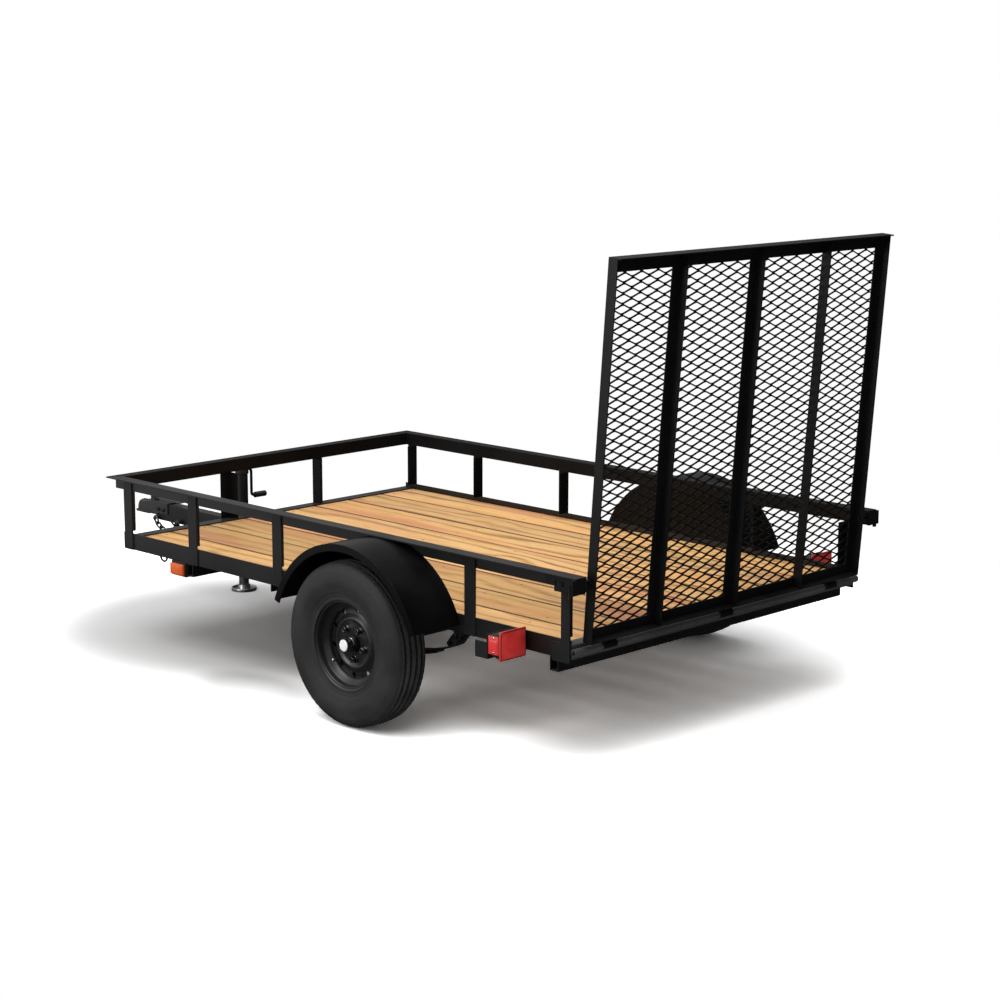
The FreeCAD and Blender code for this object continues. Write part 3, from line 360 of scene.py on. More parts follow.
def domed_head(radius: float, height: float, segments: int = 20) -> Patch:
    """Round bolt head along +Z: a quarter ellipse (radius cos t, height sin t) turned about the axis."""
    t = np.linspace(0, math.pi / 2, 6)
    rise = np.stack([radius * np.cos(t), height * np.sin(t)], axis=1)
    return lathe([(0, 0), *rise], Axis.Z, segments)


def facing(patch: Patch, direction: tuple) -> Patch:
    """Turn a shape built along +Z so that it points in a direction."""
    matrix = np.array(Vector(direction).to_track_quat("Z", "Y").to_matrix())
    return Patch(patch.points @ matrix.T, patch.quads)


def weld_bead(start: tuple, end: tuple, radius: float = 3.2 * MM, ripple: float = 3.0 * MM) -> Patch:
    """Weld along a seam: a round bar whose radius swells and dips once for each ripple of the bead.

    Args:
        start: Where the seam starts.
        end: Where it ends.
        radius: Mean radius of the bead.
        ripple: Length of one ripple.

    Returns:
        The bead, tapered at both ends.
    """
    dip, narrowest, sway = 0.16, 0.25, 0.35 * MM
    start, end = np.asarray(start, float), np.asarray(end, float)
    length = float(np.linalg.norm(end - start))
    ripples = length / ripple
    s = np.linspace(0, 1, max(8, int(ripples * 4)) + 1)
    swell = 1 - dip * np.abs(np.cos(math.pi * s * ripples))
    taper = np.clip(np.minimum(s, 1 - s) * length / (1.5 * radius), narrowest, 1) ** 0.5
    direction = (end - start) / length
    up = (0, 0, 1) if abs(direction[2]) < 0.7 else (1, 0, 0)
    wander = np.outer(sway * np.sin(0.9 * s * ripples), np.cross(direction, up))
    path = start + np.outer(s, end - start) + wander
    return tube(path, radius * swell * taper, sides=8, up=up)


def make_piece(name: str, patch: Patch, body: str, material: bpy.types.Material,
               replaces: tuple = (), crease: float = 40.0) -> bpy.types.Object:
    """Turn a shape into a finished object on a body, with its seams and poles merged.

    Args:
        name: Name of the object.
        patch: The shape, in place.
        body: The body it moves with.
        material: Its finish.
        replaces: CAD nodes that it stands for.
        crease: Edges sharper than this many degrees stay sharp.

    Returns:
        The object.
    """
    mesh = bpy.data.meshes.new(name)
    mesh.vertices.add(len(patch.points))
    mesh.vertices.foreach_set("co", patch.points.astype(np.float32).ravel())
    mesh.loops.add(patch.quads.size)
    mesh.loops.foreach_set("vertex_index", patch.quads.astype(np.int32).ravel())
    mesh.polygons.add(len(patch.quads))
    mesh.polygons.foreach_set("loop_start", 4 * np.arange(len(patch.quads), dtype=np.int32))
    mesh.update(calc_edges=True)
    shape = bmesh.new()
    shape.from_mesh(mesh)
    bmesh.ops.remove_doubles(shape, verts=shape.verts, dist=MERGE)
    bmesh.ops.dissolve_degenerate(shape, edges=shape.edges, dist=MERGE)
    bmesh.ops.recalc_face_normals(shape, faces=shape.faces)
    shape.to_mesh(mesh)
    shape.free()
    mesh.shade_smooth()
    mesh.set_sharp_from_angle(angle=math.radians(crease))
    mesh.materials.append(material)
    piece = bpy.data.objects.new(name, mesh)
    bpy.context.scene.collection.objects.link(piece)
    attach(piece, body)
    if replaces:
        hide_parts(*replaces)
    LOG.info("%s: %d faces on %s", name, len(mesh.polygons), body)
    return piece


class Tree:
    """Short hand for placing and joining nodes in one node tree."""

    def __init__(self, tree: bpy.types.NodeTree) -> None:
        """Keep the tree that nodes go into."""
        self.tree = tree

    def feed(self, node: bpy.types.Node, inputs: dict) -> None:
        """Join each input, by name or number, to an output, or set it to a plain value."""
        for key, value in inputs.items():
            if isinstance(value, bpy.types.NodeSocket):
                self.tree.links.new(value, node.inputs[key])
            else:
                node.inputs[key].default_value = value

    def put(self, kind: str, inputs: dict | None = None, **settings: object) -> bpy.types.Node:
        """Place a node.

        Args:
            kind: The node's type, without its ShaderNode prefix.
            inputs: For each input, by name or number, an output to join or a plain value.
            **settings: The node's own settings.

        Returns:
            The node.
        """
        node = self.tree.nodes.new("ShaderNode" + kind)
        for key, value in settings.items():
            setattr(node, key, value)
        self.feed(node, inputs or {})
        return node

    def effect(self, group: bpy.types.NodeTree, **values: float) -> bpy.types.Node:
        """Place a shared effect with its own values."""
        return self.put("Group", {key.replace("_", " ").title(): value for key, value in values.items()},
                        node_tree=group)

    def math(self, operation: str, *values: object) -> bpy.types.NodeSocket:
        """One Math node over its inputs, in order."""
        return self.put("Math", dict(enumerate(values)), operation=operation).outputs[0]

    def place(self) -> bpy.types.NodeSocket:
        """Object coordinates."""
        return self.put("TexCoord").outputs["Object"]

    def axis(self, vector: object, name: str) -> bpy.types.NodeSocket:
        """One coordinate of a vector."""
        return self.put("SeparateXYZ", {0: vector}).outputs[name]

    def noise(self, vector: object, scale: object, detail: float) -> bpy.types.NodeSocket:
        """Value of a noise texture over a vector, scaled by one number or by one for each axis."""
        if isinstance(scale, tuple):
            vector = self.put("Mapping", {"Vector": vector, "Scale": scale}).outputs[0]
            scale = 1.0
        return self.put("TexNoise", {"Vector": vector, "Scale": scale, "Detail": detail}).outputs[0]

    def ramp(self, value: object, low: float, high: float, out_low: float = 0.0,
             out_high: float = 1.0) -> bpy.types.NodeSocket:
        """A smooth step from one value to another as the input goes from low to high."""
        inputs = {"Value": value, "From Min": low, "From Max": high, "To Min": out_low, "To Max": out_high}
        return self.put("MapRange", inputs, interpolation_type="SMOOTHSTEP").outputs[0]

    def mix(self, factor: object, first: object, second: object, blend: str = "MIX") -> bpy.types.NodeSocket:
        """Mix of two colours, each an output or three numbers."""
        first, second = ((*colour, 1) if isinstance(colour, tuple) else colour for colour in (first, second))
        node = self.put("Mix", {0: factor, 6: first, 7: second}, data_type="RGBA", blend_type=blend)
        return node.outputs[2]

    def grey(self, value: object) -> bpy.types.NodeSocket:
        """A grey of that value."""
        return self.put("CombineColor", {0: value, 1: value, 2: value}).outputs[0]

    def total(self, *terms: tuple) -> bpy.types.NodeSocket:
        """Sum of outputs, each times its own number."""
        parts = [self.math("MULTIPLY", value, factor) for value, factor in terms]
        whole = parts[0]
        for part in parts[1:]:
            whole = self.math("ADD", whole, part)
        return whole

    def bump(self, height: object, strength: float, distance: float, **more: object) -> bpy.types.NodeSocket:
        """Normal of a surface whose height varies."""
        return self.put("Bump", {"Height": height, "Strength": strength, "Distance": distance, **more}).outputs[0]

    def scaled(self, colour: object, factor: object) -> bpy.types.NodeSocket:
        """A colour times a factor."""
        return self.mix(1.0, colour, self.grey(factor), "MULTIPLY")


def new_group(name: str, inputs: dict[str, float], outputs: dict[str, str]) -> tuple:
    """Start a node group with number inputs and the given outputs.

    Args:
        name: Name of the group.
        inputs: For each input, its value where nothing is set.
        outputs: For each output, its socket type without the NodeSocket prefix.

    Returns:
        The group, its Tree, its input node and its output node.
    """
    group = bpy.data.node_groups.new(name, "ShaderNodeTree")
    for key, value in inputs.items():
        socket = group.interface.new_socket(key, in_out="INPUT", socket_type="NodeSocketFloat")
        socket.default_value = value
    for key, kind in outputs.items():
        group.interface.new_socket(key, in_out="OUTPUT", socket_type="NodeSocket" + kind)
    source = group.nodes.new("NodeGroupInput")
    target = group.nodes.new("NodeGroupOutput")
    return group, Tree(group), source, target


class Effects:
    """Node groups that more than one finish uses, each built once."""

    def __init__(self) -> None:
        """Build the groups."""
        self.edges = self.worn_edges()
        self.dust = self.settled_dust()
        self.skin = self.uneven_skin()

    @staticmethod
    def worn_edges() -> bpy.types.NodeTree:
        """Edges that catch the light: the rounded normal, and a mask where it leaves the flat one."""
        group, tree, source, target = new_group(
            "worn_edges", {"Radius": 0.0015, "Spread": 0.5, "Scale": 60.0}, {"Normal": "Vector", "Mask": "Float"})
        bevel = tree.put("Bevel", {"Radius": source.outputs["Radius"]}, samples=4).outputs[0]
        flat = tree.put("NewGeometry").outputs["Normal"]
        close = tree.put("VectorMath", {0: bevel, 1: flat}, operation="DOT_PRODUCT").outputs["Value"]
        chips = tree.noise(tree.place(), source.outputs["Scale"], 5.0)
        level = tree.math("MULTIPLY", tree.math("SUBTRACT", 1.0, close), tree.ramp(chips, 0.42, 0.62))
        gain = tree.math("MULTIPLY", source.outputs["Spread"], 8.0)
        mask = tree.math("MINIMUM", tree.math("MULTIPLY", level, gain), 1.0)
        tree.feed(target, {"Normal": bevel, "Mask": mask})
        return group

    @staticmethod
    def settled_dust() -> bpy.types.NodeTree:
        """Dust that lies on what faces up, in soft patches; its lighter colour there is partly painted sheen where
        light falls on top faces.
        """
        group, tree, source, target = new_group(
            "settled_dust", {"Amount": 0.3, "Scale": 6.0}, {"Mask": "Float"})
        upward = tree.ramp(tree.axis(tree.put("NewGeometry").outputs["Normal"], "Z"), 0.2, 1.0)
        patches = tree.noise(tree.place(), source.outputs["Scale"], 6.0)
        cover = tree.math("MULTIPLY", upward, tree.ramp(patches, 0.35, 0.75))
        tree.feed(target, {"Mask": tree.math("MULTIPLY", cover, source.outputs["Amount"])})
        return group

    @staticmethod
    def uneven_skin() -> bpy.types.NodeTree:
        """Fine ripple and slow cloudiness of a sprayed or moulded surface."""
        group, tree, source, target = new_group(
            "uneven_skin", {"Scale": 400.0, "Cloud Scale": 5.0}, {"Height": "Float", "Cloud": "Float"})
        tree.feed(target, {"Height": tree.noise(tree.place(), source.outputs["Scale"], 2.0),
                           "Cloud": tree.noise(tree.place(), source.outputs["Cloud Scale"], 3.0)})
        return group


@dataclass(frozen=True)
class Finish:
    """What every finish has: a name, and the inputs that it gives a Principled shader."""

    name: str

    def inputs(self, tree: Tree, effects: Effects) -> dict:
        """Each input of the shader by name, as a node's output or a plain value.

        Args:
            tree: Where the nodes go.
            effects: The shared node groups.

        Returns:
            The shader's inputs.
        """
        raise NotImplementedError

    def material(self, effects: Effects) -> bpy.types.Material:
        """Build the material.

        Args:
            effects: The shared node groups.

        Returns:
            The material.
        """
        material = bpy.data.materials.new(self.name)
        material.use_nodes = True
        tree = Tree(material.node_tree)
        tree.feed(material.node_tree.nodes["Principled BSDF"], self.inputs(tree, effects))
        return material


@dataclass(frozen=True)
class Paint(Finish):
    """Sprayed paint over steel, thin at the edges, and dusty and lighter on top, partly as painted sheen.

    Attributes:
        colour: Colour of the paint.
        worn: Colour where the edges are rubbed.
        roughness: Mean roughness.
        specular: Specular level of the surface.
        wear: How far the rubbed edges spread.
        dust: How much dust lies on what faces up.
        peel: Depth of the fine ripple.
        cloudy: Factor of the colour in the lighter clouds.
        spread: How far the roughness goes either way.
        dust_rough: Roughness that full dust adds.
    """

    colour: tuple = (0.0042, 0.0039, 0.0039)
    worn: tuple = (0.032, 0.031, 0.030)
    roughness: float = 0.40
    specular: float = 0.30
    wear: float = 0.40
    dust: float = 0.10
    peel: float = 0.05
    cloudy: float = 1.7
    spread: float = 0.06
    dust_rough: float = 0.5

    def inputs(self, tree: Tree, effects: Effects) -> dict:
        """Paint with clouds, rubbed edges, and dust on top faces that is partly painted sheen.

        Args:
            tree: Where the nodes go.
            effects: The shared node groups.

        Returns:
            The shader's inputs.
        """
        edges = tree.effect(effects.edges, radius=0.0016, spread=self.wear, scale=70.0)
        dust = tree.effect(effects.dust, amount=self.dust, scale=7.0).outputs["Mask"]
        skin = tree.effect(effects.skin, scale=900.0, cloud_scale=4.0)
        lighter = tuple(self.cloudy * c for c in self.colour)
        base = tree.mix(tree.ramp(skin.outputs["Cloud"], 0.3, 0.7), self.colour, lighter)
        base = tree.mix(edges.outputs["Mask"], base, self.worn)
        low, high = self.roughness - self.spread, self.roughness + self.spread
        rough = tree.math("ADD", tree.ramp(skin.outputs["Cloud"], 0.3, 0.7, low, high),
                          tree.math("MULTIPLY", dust, self.dust_rough))
        # The dust colour on upward faces is partly painted sheen.
        return {"Base Color": tree.mix(dust, base, DUST_AND_SHEEN), "Roughness": rough, "Specular IOR Level": self.specular,
                "Normal": tree.bump(skin.outputs["Height"], self.peel, 0.001, Normal=edges.outputs["Normal"])}


@dataclass(frozen=True)
class Metal(Finish):
    """Bare or plated steel.

    Attributes:
        colour: Colour of the metal.
        stain: Colour of the dull patches.
        roughness: Roughness where it is clean.
        dull: Roughness where it is dull.
        spots: Scale of the patches.
    """

    colour: tuple = (0.62, 0.62, 0.62)
    stain: tuple = (0.34, 0.33, 0.31)
    roughness: float = 0.22
    dull: float = 0.5
    spots: float = 45.0

    def inputs(self, tree: Tree, effects: Effects) -> dict:
        """Metal with dull patches and rounded edges.

        Args:
            tree: Where the nodes go.
            effects: The shared node groups.

        Returns:
            The shader's inputs.
        """
        edges = tree.effect(effects.edges, radius=0.0006, spread=0.2, scale=90.0)
        skin = tree.effect(effects.skin, scale=1500.0, cloud_scale=self.spots)
        cloud = skin.outputs["Cloud"]
        return {"Base Color": tree.mix(tree.ramp(cloud, 0.42, 0.68), self.colour, self.stain),
                "Roughness": tree.ramp(cloud, 0.35, 0.7, self.roughness, self.dull), "Metallic": 1.0,
                "Normal": tree.bump(skin.outputs["Height"], 0.06, 0.0005, Normal=edges.outputs["Normal"])}


@dataclass(frozen=True)
class Rubber(Finish):
    """Tyre rubber: dark, matt, with a faint bloom.

    Attributes:
        colour: Colour of the rubber.
        bloom: Colour of the grey film on it.
        contrast: How much lighter the tread's ribs are, as painted highlight, and how much darker its grooves, as
            painted shade.
    """

    colour: tuple = (0.013, 0.013, 0.0128)
    bloom: tuple = (0.022, 0.0218, 0.0214)
    contrast: float = 0.85

    def inputs(self, tree: Tree, effects: Effects) -> dict:
        """Rubber with a film in patches, and the tread's attribute as a factor of its colour: painted highlight on the
        ribs and painted shade in the grooves.

        Args:
            tree: Where the nodes go.
            effects: The shared node groups.

        Returns:
            The shader's inputs.
        """
        skin = tree.effect(effects.skin, scale=700.0, cloud_scale=9.0)
        film = tree.ramp(skin.outputs["Cloud"], 0.35, 0.75)
        # The tread attribute lightens the ribs as painted highlight and darkens the grooves as painted shade.
        tread = tree.put("Attribute", attribute_name="tread").outputs["Fac"]
        factor = tree.math("MULTIPLY_ADD", tread, self.contrast, 1.0)
        return {"Base Color": tree.scaled(tree.mix(film, self.colour, self.bloom), factor),
                "Roughness": tree.ramp(skin.outputs["Cloud"], 0.3, 0.7, 0.6, 0.74), "Specular IOR Level": 0.28,
                "Normal": tree.bump(skin.outputs["Height"], 0.12, 0.0008)}


@dataclass(frozen=True)
class Plastic(Finish):
    """Moulded plastic.

    Attributes:
        colour: Colour of the plastic.
        roughness: Its roughness.
        coat: Weight of the clear outer gloss.
        glow: How much the colour lights itself, as light that passes through a lens does.
    """

    colour: tuple = (0.02, 0.02, 0.02)
    roughness: float = 0.45
    coat: float = 0.0
    glow: float = 0.0

    def inputs(self, tree: Tree, effects: Effects) -> dict:
        """Plastic with faint clouds, under a clear gloss where it has one.

        Args:
            tree: Where the nodes go.
            effects: The shared node groups.

        Returns:
            The shader's inputs.
        """
        skin = tree.effect(effects.skin, scale=1200.0, cloud_scale=25.0)
        cloud = skin.outputs["Cloud"]
        base = tree.mix(tree.ramp(cloud, 0.3, 0.7), self.colour, tuple(0.75 * c for c in self.colour))
        inputs = {"Base Color": base, "Coat Weight": self.coat, "Coat Roughness": 0.08,
                  "Roughness": tree.ramp(cloud, 0.3, 0.7, self.roughness - 0.04, self.roughness + 0.05),
                  "Normal": tree.bump(skin.outputs["Height"], 0.04, 0.0006)}
        if self.glow:
            inputs.update({"Emission Color": base, "Emission Strength": self.glow})
        return inputs


@dataclass(frozen=True)
class Timber(Finish):
    """Softwood planks: long grain, growth rings, knots, and a tone for each plank.

    Attributes:
        start_y: Right-hand edge of the first plank.
        start_z: Height of the planks' underside.
        pitch: From one plank's edge to the next.
        pale: Early wood.
        deep: Late wood.
        warm: Wood in the redder patches.
        yellow: Wood in the yellower patches.
        knot: Knots.
        seam: Dirt along the planks' edges.
        below: Grime on the side that faces the road.
        grime: How much of the underside it covers.
        shift: How far a plank's tone shifts its place in the noise.
        tones: Factors of the darkest and the lightest plank.
        knot_scale: Scale of the knots along, across and up.
        ring_turn: Turn of the rings' sine for each metre across, in radians.
        ring_slant: The same for each metre up.
        ring_wander: How far slow noise bends the rings.
        ring_bulge: How far a knot bends them.
        ring_power: Power that narrows the late wood.
        noises: Scale and detail of the wander, the fibres, the streaks, the redder patches, the yellower
            patches and the short dark dashes.
    """

    start_y: float = 0.0
    start_z: float = 0.0
    pitch: float = 0.19
    pale: tuple = (0.545, 0.332, 0.140)
    deep: tuple = (0.17, 0.074, 0.024)
    warm: tuple = (0.46, 0.185, 0.090)
    yellow: tuple = (0.62, 0.35, 0.115)
    knot: tuple = (0.085, 0.034, 0.012)
    seam: tuple = (0.085, 0.042, 0.018)
    below: tuple = (0.340, 0.325, 0.310)
    grime: float = 0.72
    shift: tuple = (37.0, 0.0, 11.0)
    tones: tuple = (0.76, 1.12)
    knot_scale: tuple = (1.6, 4.2, 3.0)
    ring_turn: float = 85.0
    ring_slant: float = 60.0
    ring_wander: float = 22.0
    ring_bulge: float = 5.0
    ring_power: float = 2.2
    noises: tuple = (((0.9, 5.0, 5.0), 3.0), ((4.0, 240.0, 240.0), 5.0), ((1.3, 46.0, 46.0), 4.0),
                     ((1.1, 7.0, 7.0), 3.0), ((0.55, 3.2, 3.2), 2.0), ((7.0, 130.0, 130.0), 3.0))

    def inputs(self, tree: Tree, effects: Effects) -> dict:
        """Wood whose rings are a sine across the plank, bent by slow noise and round the knots.

        Each plank's tone shifts the place in the noise, so that no two planks are alike.

        Args:
            tree: Where the nodes go.
            effects: The shared node groups.

        Returns:
            The shader's inputs.
        """
        tone = tree.put("Attribute", attribute_name="plank").outputs["Fac"]
        whole = tree.place()
        shift = tree.put("VectorMath", {0: self.shift, "Scale": tone}, operation="SCALE").outputs[0]
        place = tree.put("VectorMath", {0: whole, 1: shift}, operation="ADD").outputs[0]
        spread = tree.put("Mapping", {"Vector": place, "Scale": self.knot_scale}).outputs[0]
        knots = tree.put("TexVoronoi", {"Vector": spread, "Scale": 1.0, "Randomness": 1.0}).outputs["Distance"]
        wander, fibre, streak, patch, tint, dashes = (tree.noise(place, *kind) for kind in self.noises)

        near_knot = tree.ramp(knots, 0.02, 0.34, 1.0, 0.0)
        across = tree.total((tree.axis(place, "Y"), self.ring_turn), (wander, self.ring_wander),
                            (near_knot, self.ring_bulge), (tree.axis(place, "Z"), self.ring_slant))
        rings = tree.math("MULTIPLY_ADD", tree.math("SINE", across), 0.5, 0.5)
        rings = tree.math("POWER", rings, self.ring_power)
        late = tree.math("MULTIPLY", rings, tree.ramp(streak, 0.25, 0.75, 0.35, 1.0))
        late = tree.total((late, 0.62), (fibre, 0.34))

        share = tree.math("SUBTRACT", tree.axis(whole, "Y"), self.start_y)
        share = tree.math("FRACT", tree.math("DIVIDE", share, self.pitch))
        edge = tree.math("MULTIPLY", tree.math("MINIMUM", share, tree.math("SUBTRACT", 1.0, share)), self.pitch)
        dirt = tree.math("MULTIPLY", tree.ramp(edge, 0.0035, 0.0105, 1.0, 0.0), tree.ramp(streak, 0.25, 0.6, 0.55, 1.0))
        under = tree.ramp(tree.axis(whole, "Z"), self.start_z + 0.002, self.start_z + 0.006, self.grime, 0.0)

        base = tree.mix(tree.ramp(late, 0.14, 0.80), self.pale, self.deep)
        for mask, colour in ((tree.ramp(patch, 0.42, 0.64, 0.0, 0.75), self.warm),
                             (tree.ramp(tint, 0.38, 0.62, 0.0, 0.5), self.yellow),
                             (tree.ramp(dashes, 0.60, 0.74, 0.0, 0.75), self.deep),
                             (tree.ramp(knots, 0.03, 0.085, 0.9, 0.0), self.knot),
                             (dirt, self.seam), (under, self.below)):
            base = tree.mix(mask, base, colour)
        shade = tree.ramp(tree.math("FRACT", tree.math("MULTIPLY", tone, 7.31)), 0.0, 1.0, *self.tones)
        height = tree.total((fibre, 0.6), (late, -0.5))
        return {"Base Color": tree.scaled(base, shade), "Roughness": tree.ramp(fibre, 0.3, 0.7, 0.52, 0.7),
                "Normal": tree.bump(height, 0.35, 0.0012), "Specular IOR Level": 0.25}


class Palette:
    """Every finish of the trailer, by the record's material slot.

    Attributes:
        own_finish: CAD nodes whose finish isn't the one of their slot: copies of the frame's black paint, darker as
            painted shade on the far rails and the front and right posts, lighter as painted light on the near posts,
            the rear angle and the hinge pipes.
        materials: The material of each finish, by name.
    """

    # Lit and shaded copies of one black paint: each is painted light or painted shade, not a paint of its own.
    own_finish = {"hinge_pipes": "rear_paint", "posts_front": "far_paint", "posts_right": "far_paint",
                  "top_rail_front": "far_paint", "top_rail_right": "far_paint", "posts_left": "post_paint",
                  "rear_angle": "rear_paint"}

    def __init__(self, floor_start: float, floor_pitch: float, floor_below: float) -> None:
        """Build the shared effects, then each material once.

        Args:
            floor_start: Right-hand edge of the first plank.
            floor_pitch: From one plank's edge to the next.
            floor_below: Height of the planks' underside.
        """
        effects = Effects()
        finishes = {
            "frame_paint": Paint("black paint on the frame", dust=0.15),
            # Darker, less glossy black: painted shade on the far rails and posts.
            "far_paint": Paint("black paint on the far rails and posts", colour=(0.0030, 0.0028, 0.0028),
                               worn=(0.010, 0.010, 0.010), roughness=0.42, specular=0.08, dust=0.05),
            # Lighter, less glossy black: painted light as it falls on the near posts.
            "post_paint": Paint("black paint on the near posts", colour=(0.0070, 0.0068, 0.0070),
                                worn=(0.020, 0.020, 0.020), roughness=0.42, specular=0.16, dust=0.10),
            # Black about eight times lighter: painted light on the rear angle and the hinge pipes.
            "rear_paint": Paint("black paint on the rear angle", colour=(0.0330, 0.0320, 0.0315), dust=0.15),
            "gate_paint": Paint("black paint on the gate", colour=(0.0035, 0.0035, 0.0035), worn=(0.012, 0.012, 0.012),
                                roughness=0.45, specular=0.16, dust=0.04),
            "fender_paint": Paint("black paint on the fenders", colour=(0.0018, 0.0016, 0.0018), roughness=0.26,
                                  specular=0.10, wear=0.2, dust=0.05, peel=0.03),
            "running_gear_paint": Paint("matt paint under the bed", colour=(0.0085, 0.0080, 0.0080), roughness=0.5,
                                        wear=0.6, dust=0.2),
            "rim_paint": Paint("gloss paint on the rims", colour=(0.0095, 0.0085, 0.0090), roughness=0.33,
                               specular=0.45, wear=0.2, dust=0.05),
            "hub_paint": Paint("paint on the hubs", roughness=0.35),
            "coupler_paint": Paint("gloss paint on the coupler", colour=(0.0095, 0.009, 0.009), roughness=0.32,
                                   specular=0.4),
            "jack_paint": Paint("paint on the jack", roughness=0.35),
            "board_wood": Timber("planks", start_y=floor_start, pitch=floor_pitch, start_z=floor_below),
            "tyre_rubber": Rubber("tyre rubber"),
            "bright_plate": Metal("dark chrome on the nuts and caps", colour=(0.30, 0.30, 0.305),
                                  stain=(0.15, 0.15, 0.15), roughness=0.10, dull=0.26, spots=60.0),
            # Its white stands in for the bright reflection on the dust cap's end: a painted reflection.
            "pale_plug": Plastic("pale plug", colour=(0.80, 0.80, 0.79), roughness=0.30),
            "polished": Metal("bright plate", colour=(0.86, 0.86, 0.86), stain=(0.66, 0.66, 0.66), roughness=0.14,
                              dull=0.26),
            "zinc_steel": Metal("dull dark steel", colour=(0.065, 0.062, 0.060), stain=(0.030, 0.028, 0.026),
                                roughness=0.34, dull=0.6),
            "jack_zinc": Metal("worn steel of the jack leg", colour=(0.30, 0.30, 0.30), stain=(0.12, 0.115, 0.11),
                               roughness=0.3, dull=0.5),
            "lamp_red": Plastic("red lens", colour=(0.56, 0.034, 0.030), roughness=0.2, coat=0.4, glow=0.07),
            "marker_amber": Plastic("amber lens", colour=(0.56, 0.088, 0.012), roughness=0.24, coat=0.4, glow=0.08),
            "lamp_base": Plastic("black plastic", colour=(0.006, 0.006, 0.006)),
        }
        self.materials = {name: finish.material(effects) for name, finish in finishes.items()}

    def __getitem__(self, name: str) -> bpy.types.Material:
        """The material of a finish."""
        return self.materials[name]

    def dress(self, frame: dict) -> None:
        """Give every CAD node the finish of its slot, or its own where it has one.
        """
        for part in frame["record"]["subparts"]:
            mesh = frame["nodes"][part["node"]].data
            mesh.materials.clear()
            mesh.materials.append(self[self.own_finish.get(part["node"], part["material_slot"])])


